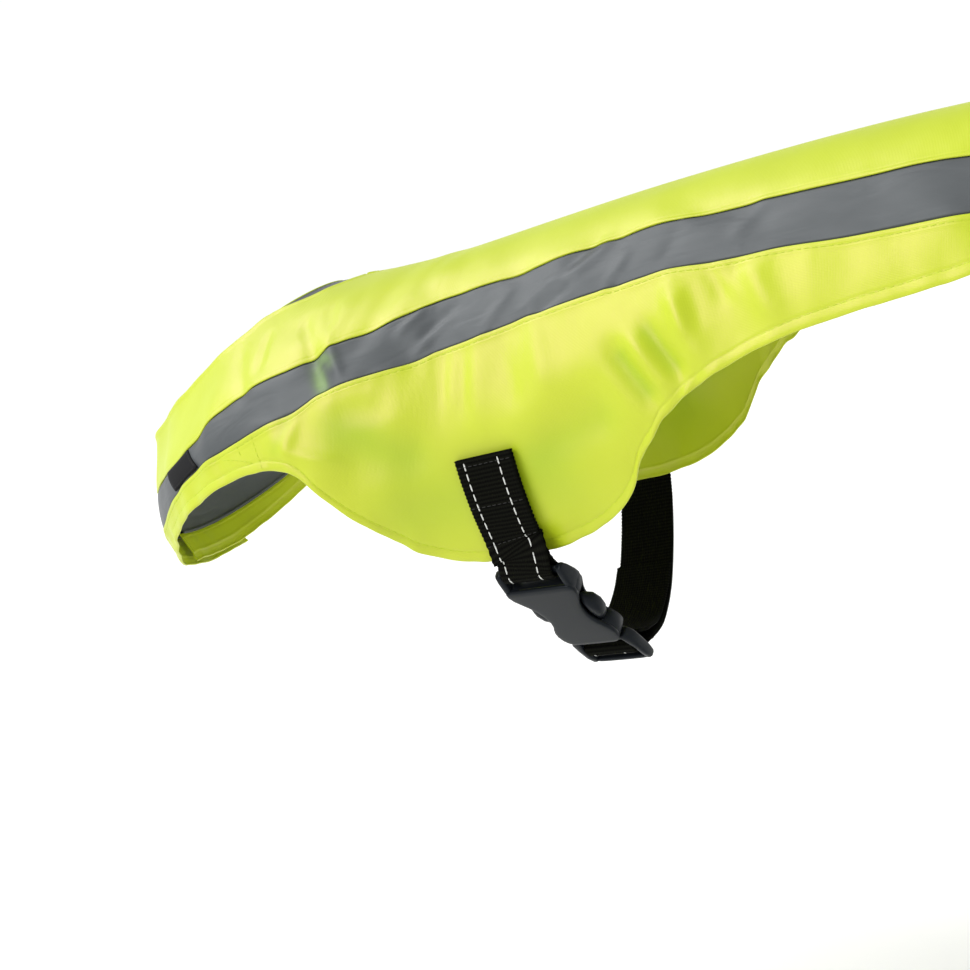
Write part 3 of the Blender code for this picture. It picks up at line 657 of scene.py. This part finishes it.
# glass-bead tape on cloth: flat blue-grey with a soft metallic sheen on its small wrinkles
grey, tree, shader = newMaterial("reflective_tape", tape)
coordinates = addNode(tree, "ShaderNodeTexCoord").outputs
beads = addNode(tree, "ShaderNodeTexNoise", {
    "Vector": coordinates["Object"], "Scale": 1000 / tape["beadMm"], "Detail": 0.0})
beadBump = addNode(tree, "ShaderNodeBump", {
    "Height": beads.outputs["Fac"], "Distance": tape["beadHeightMm"] * mm})
wrinkleMap = addNode(tree, "ShaderNodeMapping", {
    "Vector": coordinates["UV"], "Rotation": (0, 0, 0.7),
    "Scale": (1 / tape["wrinkleMm"][0], 1 / tape["wrinkleMm"][1], 1)})
wrinkles = addNode(tree, "ShaderNodeTexNoise", {
    "Vector": wrinkleMap.outputs[0], "Scale": 1.0, "Detail": 1.5, "Distortion": 0.6})
wrinkleBump = addNode(tree, "ShaderNodeBump", {
    "Height": wrinkles.outputs["Fac"], "Distance": tape["wrinkleHeightMm"] * mm,
    "Strength": 0.7, "Normal": beadBump.outputs[0]})
tree.links.new(wrinkleBump.outputs[0], shader.inputs["Normal"])
cloudMap = addNode(tree, "ShaderNodeMapping", {
    "Vector": coordinates["UV"], "Rotation": (0, 0, 0.6),
    "Scale": (1 / tape["cloudMm"][0], 1 / tape["cloudMm"][1], 1)})
cloudy = addNode(tree, "ShaderNodeTexNoise", {
    "Vector": cloudMap.outputs[0], "Scale": 1.0, "Detail": 2.0})
twoColors = addNode(tree, "ShaderNodeMix", {
    0: cloudy.outputs["Fac"], 6: linearColor(tape["color"]),
    7: linearColor(tape["secondColor"])}, data_type="RGBA")
# painted reflection: a dent in the tape is tinted green with the yellow cloth beside it
paintedReflectionSpots = addNode(tree, "ShaderNodeAttribute", attribute_name="paintedLight")
paintedReflectionStreaks = addNode(tree, "ShaderNodeMath", {
    0: paintedReflectionSpots.outputs["Fac"], 1: wrinkles.outputs["Fac"]}, operation="MULTIPLY")
paintedReflectionMix = addNode(tree, "ShaderNodeMix", {0: paintedReflectionStreaks.outputs[0], 6: twoColors.outputs[2],
                                         7: linearColor(tape["paintedReflectionColor"])}, data_type="RGBA")
tree.links.new(paintedReflectionMix.outputs[2], shader.inputs["Base Color"])

webbing = {
    "color": "#040403", "secondColor": "#11120D", "roughness": 0.8,
    "sockets": {"Specular IOR Level": 0.03, "IOR": 1.49},
    "ribMm": 1.7, "cordMm": 1.1, "ribHeightMm": 0.12}
# woven polypropylene: crosswise ribs, a dull black that catches little light
blackWeb, tree, shader = newMaterial("black_webbing", webbing)
webUv = addNode(tree, "ShaderNodeTexCoord").outputs["UV"]
ribs = addNode(tree, "ShaderNodeTexWave", {
    "Vector": webUv, "Scale": math.pi / 10 / webbing["ribMm"], "Distortion": 0.6,
    "Detail": 1.0, "Detail Scale": 2.0}, bands_direction="X")
cords = addNode(tree, "ShaderNodeTexWave", {
    "Vector": webUv, "Scale": math.pi / 10 / webbing["cordMm"], "Distortion": 0.4},
    bands_direction="Y")
weave = addNode(tree, "ShaderNodeMath", {0: ribs.outputs["Fac"], 1: cords.outputs["Fac"]},
                operation="ADD")
ribBump = addNode(tree, "ShaderNodeBump", {
    "Height": weave.outputs[0], "Distance": webbing["ribHeightMm"] * mm})
tree.links.new(ribBump.outputs[0], shader.inputs["Normal"])
# painted highlight: the crests of the ribs are a little lighter
twoColors = addNode(tree, "ShaderNodeMix", {
    0: ribs.outputs["Fac"], 6: linearColor(webbing["color"]),
    7: linearColor(webbing["secondColor"])}, data_type="RGBA")
tree.links.new(twoColors.outputs[2], shader.inputs["Base Color"])

# the rest has one grain: acetal is moulded and softly glossy, the label is a tight black
# weave, and the fastener's loops break up all light
grainy = {
    "black_acetal": {"color": "#101317", "roughness": 0.36, "grainMm": 0.6, "heightMm": 0.02,
                     "sockets": {"Specular IOR Level": 0.13, "IOR": 1.48,
                                 "Specular Tint": (0.86, 0.95, 1.0, 1.0)}},
    "label_weave": {"color": "#0E0E10", "roughness": 0.7, "grainMm": 0.5, "heightMm": 0.1,
                    "sockets": {"Specular IOR Level": 0.12}},
    "hook_and_loop": {"color": "#C8D83A", "roughness": 0.9, "grainMm": 0.8, "heightMm": 0.25,
                      "sockets": {"Specular IOR Level": 0.3}}}
finishes = {}
for name, look in grainy.items():
    finishes[name], tree, shader = newMaterial(name, look)
    grain = addNode(tree, "ShaderNodeTexNoise", {
        "Vector": addNode(tree, "ShaderNodeTexCoord").outputs["Object"],
        "Scale": 1000 / look["grainMm"], "Detail": 1.0})
    grainBump = addNode(tree, "ShaderNodeBump", {
        "Height": grain.outputs["Fac"], "Distance": look["heightMm"] * mm})
    tree.links.new(grainBump.outputs[0], shader.inputs["Normal"])
# thread a little deeper than the cloth, a painted shade, so that a row of stitches reads as a
# fine line
yellowThread = newMaterial("polyester_thread", {"color": "#AFC11A", "roughness": 0.55})[0]
# glass-bead yarn: pale dashes that stay light against the webbing
reflectiveYarn = newMaterial("reflective_yarn", {"color": "#C4C6C1", "roughness": 0.45})[0]
blackThread = newMaterial("black_thread", {"color": "#12130E", "roughness": 0.7})[0]
print("materials done")


# cloth
napeFirst = seamRow["nape strip end"]
napeLast = seamRow["nape centre"]

areas = {}
for side, word in ((-1, "left"), (1, "right")):
    seed = 20 if side < 0 else 60
    areas["back_" + word] = clothArea(side, "upper", "inner", ("lap", "none", "hem"),
                                      cloth["top"], seed)
    areas["stripe_" + word] = clothArea(side, "upper", "lower", ("under", "under", "none"),
                                        cloth["stripeTop"], seed + 10)
    areas["side_" + word] = clothArea(side, "lower", "hem", ("fold", "hem", "hem"),
                                      cloth["top"], seed + 20)


def backPanelGrid(area):
    # one half of the back panel, hemmed at the neck and joined to the other half on the spine
    strip = (area.places >= napeFirst) & (area.places < napeLast)
    gap = cloth["gap"] / 2
    width = area.widths[:, -1] - gap - np.where(strip, gap, 0.0)
    spots, distance, fromEnd, along = clothColumns(area, width, ("fold", "hem"), 20, gap)
    height = area.height(spots, distance, fromEnd, along)
    neck = np.clip((napeFirst + 0.3 - area.places) / 0.6, 0, 1)[:, None]
    height = height + neck * edgeShape("rolled", fromEnd, along, area.seed)
    nape = ((area.places >= napeFirst) & (area.places <= napeLast))[:, None]
    height = height + np.where(nape, (1 - neck) * edgeShape("fold", fromEnd, along, area.seed), 0)
    # the two halves meet in one line on the spine
    height[:, -1] = np.where(area.places >= napeLast, area.top, height[:, -1])
    spine = np.exp(-(fromEnd / 14) ** 2) * (area.places >= napeLast)[:, None]
    height = height * (1 - spine) + area.top * spine
    base, normal = torsoAt(spots)
    outer = base + normal * height[..., None]
    toRowEnds = np.minimum(along, area.endAlong - along)
    left = np.minimum(roundedRim("fold", distance, cloth["thick"]),
                      roundedRim("hem", toRowEnds, cloth["thick"]))
    edged = (area.places < napeLast)[:, None]
    left = np.where(edged, np.minimum(left, roundedRim("hem", fromEnd, cloth["thick"])), left)
    return shellGrid(outer, normal, cloth["thick"], left, along, distance)


back = finishPiece("back_panel_cloth", shellMesh([
    backPanelGrid(areas["back_left"]), backPanelGrid(areas["back_right"])]),
    yellow, "hi_vis_polyester", ("back_panel",))
for word in ("left", "right"):
    for part, node, kind, lowGap, columns, material, slot in (
            ("stripe_", "stripe_", "_tape", cloth["gap"] / 2, 14, grey, "reflective_tape"),
            ("side_", "side_panel_", "_cloth", 0.0, 40, yellow, "hi_vis_polyester")):
        grid = areaGrid(areas[part + word], (cloth["gap"] / 2, lowGap), columns)
        finishPiece(node + word + kind, shellMesh([grid]), material, slot,
                                          (node + word,))
print("cloth done")


# grey crescent between the neckline and the back panel
napeStrip = {             # mm, but rings by number
    "startRow": 0.1,      # from the row where the strip ends beside the neck
    "ringReach": 0.022, "leastRing": 0.02,    # from its inner line toward the neckline
    "roll": 0.25, "step": 0.75,               # heights of its hem and of its edge under the cloth
    "thick": 0.8, "edgeThread": 0.35,
    "shares": (0, 0.03, 0.08, 0.16, 0.3, 0.45, 0.6, 0.72, 0.8, 0.85, 0.9, 0.95, 1.0)}


def napeGrid():
    rows = np.linspace(napeFirst + napeStrip["startRow"], napeLast, 60)
    inner = seamLine(-1, "inner", rows)
    curve = np.concatenate([inner, inner[-2::-1] * np.array([1, -1])])
    far = np.maximum(curve[:, 0] + napeStrip["ringReach"], napeStrip["leastRing"])
    shares = np.array(napeStrip["shares"])
    ring = far[:, None] * shares[None]
    angle = np.broadcast_to(curve[:, 1:2], ring.shape)
    base = torsoPoints(ring, angle)
    normal = torsoNormals(ring, angle)
    wide = np.linalg.norm(base[:, -1] - base[:, 0], axis=-1)[:, None]
    distance = shares[None] * wide
    height = cloth["napeTop"] + napeStrip["roll"] * np.exp(-((distance - 0.9) / 0.8) ** 2)
    height -= napeStrip["step"] / (1 + np.exp((wide - distance - 1.6) * 6))
    thick = napeStrip["thick"]
    left = np.minimum(roundedRim("hem", distance, thick),
                      roundedRim("hem", wide - distance, thick))
    along = np.broadcast_to(lineLengths(base[:, 5])[:, None], ring.shape)
    return shellGrid(base + normal * height[..., None], normal, thick, left, along, distance)


napeShape = napeGrid()
nape = finishPiece("nape_strip_tape", shellMesh([napeShape]), grey, "reflective_tape",
                   ("nape_strip",))
# thin light-green edge of the cloth under the tape, inside its upper edge
greenEdge = bmesh.new()
threadMesh(greenEdge, napeShape[0][:, 2], napeStrip["edgeThread"])
finishPiece("nape_edge_line", greenEdge, yellowThread, "hi_vis_polyester")


# stitching: length and gap of a stitch and radius of its thread, in mm
stitches = {"hem": (2.6, 0.8, 0.2), "seam": (2.2, 0.8, 0.18), "patch": (1.9, 0.7, 0.15),
            "label": (1.3, 0.5, 0.12)}
# rows that hold the hidden fastener patch and show outside on the left arm: row place and
# share of the panel's width at the start, then at the end
patchRows = (((6.55, 0.04), (6.55, 0.94)), ((5.4, 0.25), (6.3, 0.72)),
             ((6.04, 0.06), (6.0, 0.50)), ((4.3, 0.25), (5.4, 0.25)))
stitching = bmesh.new()
for word in ("left", "right"):
    panel = areas["side_" + word]
    stitchesAlong(stitching, seamPath(panel, cloth["hemStitch"], True), *stitches["hem"])
    stitchesAlong(stitching, seamPath(panel, cloth["seamStitch"]), *stitches["seam"])
for start, end in patchRows:
    stitchesAlong(stitching, panelPath(areas["side_left"], start, end), *stitches["patch"])
finishPiece("cloth_stitching", stitching, yellowThread, "hi_vis_polyester")
print("stitching done")


# blank woven patch on the left stripe
woven = {                 # rows by place, shares across the stripe, and mm
    "firstRow": seamRow["label"] - 1 / 3, "lastRow": seamRow["label"] + 2 / 3,
    "shares": (0.06, 0.94), "lift": 0.75, "thick": 0.6, "bulge": 0.12, "rows": 20, "columns": 12}


def labelGrid(area):
    count, columns = woven["rows"], woven["columns"]
    rows = np.linspace(woven["firstRow"], woven["lastRow"], count)
    upper = seamLine(area.side, "upper", rows)
    lower = seamLine(area.side, "lower", rows)
    shares = np.linspace(*woven["shares"], columns)
    spots = upper[:, None] + (lower - upper)[:, None] * shares[None, :, None]
    base, normal = torsoAt(spots)
    height = area.top + creaseHeight(base) + lapHeight(spots[..., 1]) + woven["lift"]
    across = np.arange(columns)[None] * np.ones((count, 1))
    alongs = np.arange(count)[:, None] * np.ones((1, columns))
    edge = np.minimum(np.minimum(across, columns - 1 - across),
                      np.minimum(alongs, count - 1 - alongs))
    outer = base + normal * (height + woven["bulge"] * np.minimum(edge, 2))[..., None]
    inner = base + normal * (height - woven["thick"])[..., None]
    return outer, inner, np.stack([alongs, across], -1)


labelShape = labelGrid(areas["stripe_left"])
label = finishPiece("label_blank_patch", shellMesh([labelShape]), finishes["label_weave"],
                    "label_weave", ("label_blank",))
labelEdge = bmesh.new()
labelTop = labelShape[0]
for edgeLine in (labelTop[1, 1:-1], labelTop[-2, 1:-1], labelTop[1:-1, 1], labelTop[1:-1, -2]):
    stitchesAlong(labelEdge, edgeLine, *stitches["label"])
finishPiece("label_edge_stitches", labelEdge, blackThread, "label_weave")

# the chest patches keep their solids
for node in ("chest_loop_patch", "chest_hook_patch"):
    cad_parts[node].data.materials.clear()
    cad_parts[node].data.materials.append(finishes["hook_and_loop"])


# webbing
strap = {                 # mm
    "width": 25.0, "thick": 1.4, "ribPitch": 1.7, "ribHeight": 0.13,
    "x": 16.0,            # where its middle crosses the hem
    "clear": 1.0,         # from the cloth to the webbing
    "turnOver": 6,        # length over which it turns to the buckle's way
    "lean": 0.16,         # how far its width leans on the cloth
    "smoothing": 14,      # times that each point of its path is set between its neighbours
    "dashRows": (-8.4, 6.6), "dash": 3.0, "dashPitch": 4.2, "firstDash": 1.5,
    # a dash swells in the middle: share of its length and half width
    "dashForm": ((0.0, 0.15), (0.1, 0.27), (0.37, 0.31), (0.63, 0.31), (0.9, 0.27), (1.0, 0.15)),
    "dashSunk": -0.12, "dashRise": 0.14,      # its edges and its back, from the webbing's face
    "stitchRows": (3, 20, 36), "stitchReach": 10.8, "stitchPitch": 2.4,
    "stitch": (-0.9, -0.5, 0, 0.5, 0.9), "stitchThread": 0.15, "stitchLift": 0.05}
buckle = {                # mm; the end bars are given along the buckle
    "tilt": math.radians(41.0), "yaw": math.radians(11.0),
    "start": Vector((19.2, -65.0, -131.4)),
    "socketBar": -6.4, "middleBar": 52.0, "loopRadius": 3.1}


def sectionPoint(angle, height, x=strap["x"]):
    ring = np.array(3.0)
    turn = np.array(float(angle))
    for _ in range(12):
        ring = ring + (x - torsoPoints(ring, turn)[0]) / 90
    point = torsoPoints(ring, turn) + torsoNormals(ring, turn) * height
    return Vector(point)


def bucklePoint(along, out, across=0.0):
    # from lengths along, out of and across the tilted buckle, in mm
    level = Vector((math.sin(buckle["yaw"]), math.cos(buckle["yaw"]), 0))
    sideways = Vector((math.cos(buckle["yaw"]), -math.sin(buckle["yaw"]), 0))
    down = Vector((0, 0, -1))
    steep, flat = math.sin(buckle["tilt"]), math.cos(buckle["tilt"])
    return (buckle["start"] + along * (steep * level + flat * down)
            + out * (steep * down - flat * level) + across * sideways)


# knots of a strap's path: the last number turns its width from the cloth's way to the buckle's
def sectionKnot(angle, height, x=strap["x"]):
    return Vector((*sectionPoint(angle, height, x), 0.0))


def buckleKnot(along, out):
    return Vector((*bucklePoint(along, out), 1.0))


def smoothPath(points, perSpan):
    path = []
    for number in range(len(points) - 1):
        p1, p2 = points[number], points[number + 1]
        p0 = points[number - 1] if number > 0 else 2 * p1 - p2
        p3 = points[number + 2] if number + 2 < len(points) else 2 * p2 - p1
        for step in range(perSpan):
            share = step / perSpan
            path.append(0.5 * (2 * p1 + (p2 - p0) * share
                               + (2 * p0 - 5 * p1 + 4 * p2 - p3) * share ** 2
                               + (3 * p1 - p0 - 3 * p2 + p3) * share ** 3))
    path.append(points[-1])
    return path


def arcKnots(centre, radius, start, end, count):
    knots = []
    for step in range(count + 1):
        turn = math.radians(start + (end - start) * step / count)
        knots.append(buckleKnot(centre + radius * math.cos(turn), radius * math.sin(turn)))
    return knots


def webbingFrames(path, step=0.42):
    knots = np.array([tuple(knot) for knot in path])
    lengths = lineLengths(knots[:, :3])
    marks = np.linspace(0, lengths[-1], int(lengths[-1] / step) + 1)
    knots = np.stack([np.interp(marks, lengths, knots[:, k]) for k in range(4)], -1)
    for _ in range(strap["smoothing"]):
        knots[1:-1] = (knots[:-2] + 2 * knots[1:-1] + knots[2:]) / 4
    reach = np.exp(-(np.arange(-30, 31) * step / strap["turnOver"]) ** 2)
    turned = np.convolve(np.pad(knots[:, 3], 30, "edge"), reach / reach.sum(), "valid")
    points = knots[:, :3]
    direction = np.gradient(points, axis=0)
    direction /= np.linalg.norm(direction, axis=1, keepdims=True)
    yaw = buckle["yaw"] * turned
    across = np.stack([np.cos(yaw), -np.sin(yaw), -strap["lean"] * (1 - turned)], -1)
    across -= direction * (direction * across).sum(1, keepdims=True)
    across /= np.linalg.norm(across, axis=1, keepdims=True)
    return points, across, np.cross(direction, across), marks


def makeWebbing(name, frames, node):
    points, across, out, marks = frames
    half, thick = strap["width"] / 2, strap["thick"] / 2
    columns = [-half, -half + 0.35, -half + 0.9] + list(np.linspace(-half + 2, half - 2, 9))
    columns += [half - 0.9, half - 0.35, half]
    columns = np.array(columns)
    edge = half - np.abs(columns)
    swell = thick * (0.8 * np.sqrt(1 - (1 - np.clip(edge / 0.9, 0, 1)) ** 2) + 0.2)
    # crosswise ribs, which also scallop the edges
    wave = np.cos(2 * math.pi * marks / strap["ribPitch"])[:, None] * np.ones(len(columns))
    swell = swell[None] + strap["ribHeight"] * wave * (edge > 1.5)[None]
    widths = columns[None] * (1 + 0.016 * wave * (edge < 1.2)[None])
    middle = points[:, None] + across[:, None] * widths[..., None]
    outer = middle + out[:, None] * swell[..., None]
    inner = middle - out[:, None] * swell[..., None]
    uv = np.stack([np.broadcast_to(marks[:, None], (len(marks), len(columns))),
                   np.broadcast_to(columns[None], (len(marks), len(columns)))], -1)
    return finishPiece(name, shellMesh([(outer, inner, uv)]), blackWeb, "black_webbing", (node,))


def webbingAt(frames, spot):
    # middle, sideways and outward direction of the webbing at a length along it
    return [np.array([np.interp(spot, frames[3], line[:, k]) for k in range(3)])
            for line in frames[:3]]


def addDashes(meshData, frames, last, face):
    corners = ((-1, strap["dashSunk"]), (-0.8, strap["dashRise"] * face),
               (0.8, strap["dashRise"] * face), (1, strap["dashSunk"]))
    for offset in strap["dashRows"]:
        position = strap["firstDash"]
        while position + strap["dash"] < last:
            loops = []
            for share, size in strap["dashForm"]:
                point, side, up = webbingAt(frames, position + strap["dash"] * share)
                centre = point + side * offset + up * face * (strap["thick"] / 2)
                loops.append([meshData.verts.new((centre + side * a * size + up * b) * mm)
                              for a, b in corners])
            joinLoops(meshData, loops)
            position += strap["dashPitch"]


strapUnder = cloth["top"] + strap["clear"] + strap["thick"] / 2
strapOver = strapUnder + strap["thick"] + cloth["gap"]
turns = (89, 96, 104, 112)           # degrees round the body from the back
down = [sectionKnot(-angle, strapOver) for angle in turns]
up = [sectionKnot(-angle, strapUnder) for angle in turns]
down.append(Vector((18.4, -73.0, -118.5, 0.7)))
up.append(Vector((18.4, -71.2, -118.5, 0.7)))
loop = arcKnots(buckle["socketBar"], buckle["loopRadius"], 135, -120, 14)
leftOuter = smoothPath(down + loop[:1], 8)
leftPath = leftOuter + loop[1:-1] + smoothPath(loop[-1:] + up[::-1], 8)
leftFrames = webbingFrames(leftPath)
makeWebbing("belly_strap_left_webbing", leftFrames, "belly_strap_left")

start = [sectionKnot(angle, strapUnder) for angle in turns + (124,)]
bar = buckle["middleBar"]
belly = [sectionKnot(140, 2.6, 16.8), sectionKnot(158, 3.6, 18.8), sectionKnot(175, 5.6, 21.5),
         buckleKnot(bar + 8.0, -7.2), buckleKnot(bar + 4.4, -2.6)]
rightIn = smoothPath(start + belly, 8)
rightLoop = arcKnots(bar, buckle["loopRadius"], 0, 190, 12)
rightTail = smoothPath([buckleKnot(bar - 2.6, -3.0), buckleKnot(bar, -6.2),
                        buckleKnot(bar + 4.0, -9.4), sectionKnot(178, 3.0, 21.5),
                        sectionKnot(162, 1.4, 19.0), sectionKnot(150, 0.6, 17.8)], 8)
rightFrames = webbingFrames(rightIn + rightLoop + rightTail)
makeWebbing("belly_strap_right_webbing", rightFrames, "belly_strap_right")

dashes = bmesh.new()
addDashes(dashes, leftFrames, 62.0, 1)
rightLength = lineLengths(np.array([tuple(knot)[:3] for knot in rightIn]))[-1]
addDashes(dashes, rightFrames, rightLength + 11, -1)
bmesh.ops.recalc_face_normals(dashes, faces=dashes.faces)
finishPiece("strap_reflective_dashes", dashes, reflectiveYarn, "black_webbing")


def crossStitches(meshData, frames, face):
    reach = strap["stitchReach"]
    for row in strap["stitchRows"]:
        point, side, up = webbingAt(frames, row)
        for offset in np.arange(-reach, reach + 0.1, strap["stitchPitch"]):
            middle = point + side * offset
            middle = middle + up * face * (strap["thick"] / 2 + strap["stitchLift"])
            threadMesh(meshData, middle + side * np.array(strap["stitch"])[:, None],
                       strap["stitchThread"])


crossThread = bmesh.new()
crossStitches(crossThread, leftFrames, 1)
crossStitches(crossThread, rightFrames, -1)
finishPiece("strap_cross_stitches", crossThread, blackThread, "black_webbing")
print("webbing done")


# buckle
def loft(meshData, rows, sides, power):
    turns = np.arange(sides) * 2 * math.pi / sides
    loops = []
    for along, centreAcross, halfAcross, centreOut, halfOut in rows:
        ring = []
        for turn in turns:
            c, s = math.cos(turn), math.sin(turn)
            across = centreAcross + halfAcross * math.copysign(abs(c) ** (2 / power), c)
            out = centreOut + halfOut * math.copysign(abs(s) ** (2 / power), s)
            ring.append(meshData.verts.new(bucklePoint(along, out, across) * mm))
        loops.append(ring)
    joinLoops(meshData, loops)


def softEnds(rows):
    # adds a smaller ring just past each end, so that the ends round off
    ends = [(row[0] + reach, row[1], row[2] * 0.925, row[3], row[4] * 0.75)
            for row, reach in ((rows[0], -0.5), (rows[-1], 0.5))]
    return ends[:1] + rows + ends[1:]


plateOutline = ((0.4, 16.2), (3, 16.8), (6, 16.2), (9, 14.4), (12, 12.6), (15, 11.3), (18, 10.6),
                (21, 10.3), (24, 10.5), (27, 11.4), (29.5, 12.9), (32, 14.1), (35, 14.6),
                (38, 14.2), (40, 13.0), (41.4, 11.4))
# forms of each half. rows: place along, middle across, half width, middle out and half height of
# each ring, in mm; power: how square the rings are; paired: on both sides; bare: no soft ends
buckleForms = {
    "socket": (
        {"power": 7, "rows": [(a, 0, w, 3.9, 1.1) for a, w in plateOutline]},
        {"power": 7, "rows": [(a, 0, w * 0.98, -3.2, 0.8) for a, w in plateOutline]},
        {"power": 6, "rows": [(0.6, 0, 16.6, 0, 4.3), (3, 0, 17.0, 0, 4.5), (6, 0, 16.4, 0, 4.4),
                              (8.5, 0, 14.6, 0, 4.0), (10, 0, 13.0, 0, 3.4)]},
        {"power": 6, "rows": [(29, 0, 12.6, 0, 3.6), (31, 0, 14.0, 0, 4.3), (35, 0, 14.6, 0, 4.5),
                              (38, 0, 14.2, 0, 4.4), (40, 0, 13.0, 0, 4.2),
                              (41.2, 0, 11.2, 0, 3.9)]},
        # rails and the bar that the left strap loops round
        {"power": 4, "sides": 20, "paired": True, "rows": [
            (-7.6, 15.2, 1.4, 0, 2.0), (-5, 15.3, 1.6, 0, 2.9), (0, 15.2, 1.8, 0.1, 4.2),
            (3, 15.0, 1.9, 0.1, 4.5)]},
        {"power": 3, "rows": [(-7.8, 0, 14.6, 0, 1.1), (-6.4, 0, 14.6, 0, 1.3),
                              (-5.0, 0, 14.6, 0, 1.1)]}),
    "plug": (
        # release tab: teardrop that fills the socket's side window
        {"power": 2.6, "sides": 20, "paired": True, "bare": True, "rows": [
            (11.5, 11.6, 0.4, 0.2, 0.5), (13, 12.2, 1.3, 0.2, 1.7), (16, 13.1, 2.5, 0.2, 3.2),
            (20, 13.4, 3.0, 0.2, 3.5), (24, 13.0, 2.7, 0.2, 3.2), (27, 12.2, 1.9, 0.2, 2.4),
            (28.6, 10.8, 0.5, 0.2, 0.7)]},
        {"power": 4, "sides": 16, "paired": True, "rows": [
            (24, 9.4, 1.4, 0.3, 1.8), (34, 8.6, 1.5, 0.3, 1.8), (43.5, 8.4, 1.5, 0.3, 1.8)]},
        {"power": 3.4, "sides": 20, "paired": True, "rows": [
            (41.8, 11.4, 2.4, 0.3, 2.6), (45, 13.2, 2.2, 0.4, 2.9), (50, 13.9, 1.7, 0.4, 2.8),
            (56, 14.0, 1.6, 0.3, 2.6), (60, 13.6, 1.5, 0.1, 2.1)]},
        {"power": 5, "rows": [(42.4, 0, 12.8, 0.3, 2.4), (43.6, 0, 13.2, 0.3, 2.4),
                              (44.6, 0, 13.4, 0.3, 2.0)]},
        # adjuster bar and the end of its frame
        {"power": 3, "rows": [(50.7, 0, 14.0, 0, 1.1), (52, 0, 14.0, 0, 1.3),
                              (53.3, 0, 14.0, 0, 1.1)]},
        {"power": 4, "rows": [(59.7, 0, 15.0, 0.1, 1.9), (61, 0, 14.4, 0.0, 1.7)]})}

for half in ("socket", "plug"):
    shape = bmesh.new()
    for form in buckleForms[half]:
        for side in (-1, 1) if form.get("paired") else (1,):
            rows = [(row[0], side * row[1], *row[2:]) for row in form["rows"]]
            loft(shape, rows if form.get("bare") else softEnds(rows), form.get("sides", 28),
                 form["power"])
    bmesh.ops.recalc_face_normals(shape, faces=shape.faces)
    finishPiece("buckle_" + half + "_shape", shape, finishes["black_acetal"], "black_acetal",
                ("buckle_" + half,))
print("buckle done")


# camera, floor and light
view = {                  # degrees, pixels of the photo, and mm
    "azimuth": 29.0, "elevation": 7.0, "roll": 16.0, "focal": 1790, "pixels": 970,
    "place": (347.17, -677.93, -3.59)}
stage = {                 # metres
    "floorReach": 6, "floorHeight": -0.34,
    # lamps: where from, how soft in degrees, how strong
    "key": ((-0.4, -0.85, 0.75), 30, 1.9), "top": ((-0.5, 0.0, 0.85), 42, 2.2)}


def placeCamera():
    azimuth, elevation, roll = (math.radians(view[word])
                                for word in ("azimuth", "elevation", "roll"))
    look = Vector((-math.sin(azimuth) * math.cos(elevation),
                   math.cos(azimuth) * math.cos(elevation), -math.sin(elevation)))
    level = Vector((math.cos(azimuth), math.sin(azimuth), 0))
    up = level.cross(look)
    right = level * math.cos(roll) - up * math.sin(roll)
    top = level * math.sin(roll) + up * math.cos(roll)
    data = bpy.data.cameras.new("camera")
    data.sensor_width = 36.0
    data.lens = view["focal"] / view["pixels"] * data.sensor_width
    data.clip_start = 0.01
    camera = bpy.data.objects.new("camera", data)
    bpy.context.collection.objects.link(camera)
    camera.matrix_world = (Matrix.Translation(Vector(view["place"]) * mm)
                           @ Matrix((right, top, -look)).transposed().to_4x4())
    bpy.context.scene.camera = camera


placeCamera()
floorData = bmesh.new()
floorData.faces.new([
    floorData.verts.new((x * stage["floorReach"], y * stage["floorReach"], stage["floorHeight"]))
    for x, y in ((-1, -1), (1, -1), (1, 1), (-1, 1))])
floorMesh = bpy.data.meshes.new("floor")
floorData.to_mesh(floorMesh)
floorData.free()
# matte white paint that takes only a faint shadow
floorMesh.materials.append(newMaterial("floor_white", {"color": "#F4F4F3", "roughness": 0.9})[0])
floor = bpy.data.objects.new("floor", floorMesh)
bpy.context.collection.objects.link(floor)

world = bpy.data.worlds.new("studio")
bpy.context.scene.world = world
world.use_nodes = True
# white round the horizon and dimmer overhead, where the lamps take over
sky = world.node_tree
direction = addNode(sky, "ShaderNodeTexCoord").outputs["Generated"]
skyHeight = addNode(sky, "ShaderNodeSeparateXYZ", {"Vector": direction})
fall = addNode(sky, "ShaderNodeMapRange", {
    "Value": skyHeight.outputs["Z"], "From Min": 0.25, "From Max": 0.5, "To Min": 1.02,
    "To Max": 0.4}, interpolation_type="SMOOTHSTEP")
sky.links.new(fall.outputs["Result"], sky.nodes["Background"].inputs["Strength"])
sky.nodes["Background"].inputs["Color"].default_value = (1, 1, 1, 1)


for name in ("key", "top"):
    place, angle, strength = stage[name]
    lamp = bpy.data.lights.new(name, "SUN")
    lamp.angle = math.radians(angle)
    lamp.energy = strength
    light = bpy.data.objects.new(name, lamp)
    bpy.context.collection.objects.link(light)
    light.rotation_euler = Vector(place).to_track_quat("Z", "Y").to_euler()

bpy.context.scene.view_settings.view_transform = "Standard"
print("stage done")
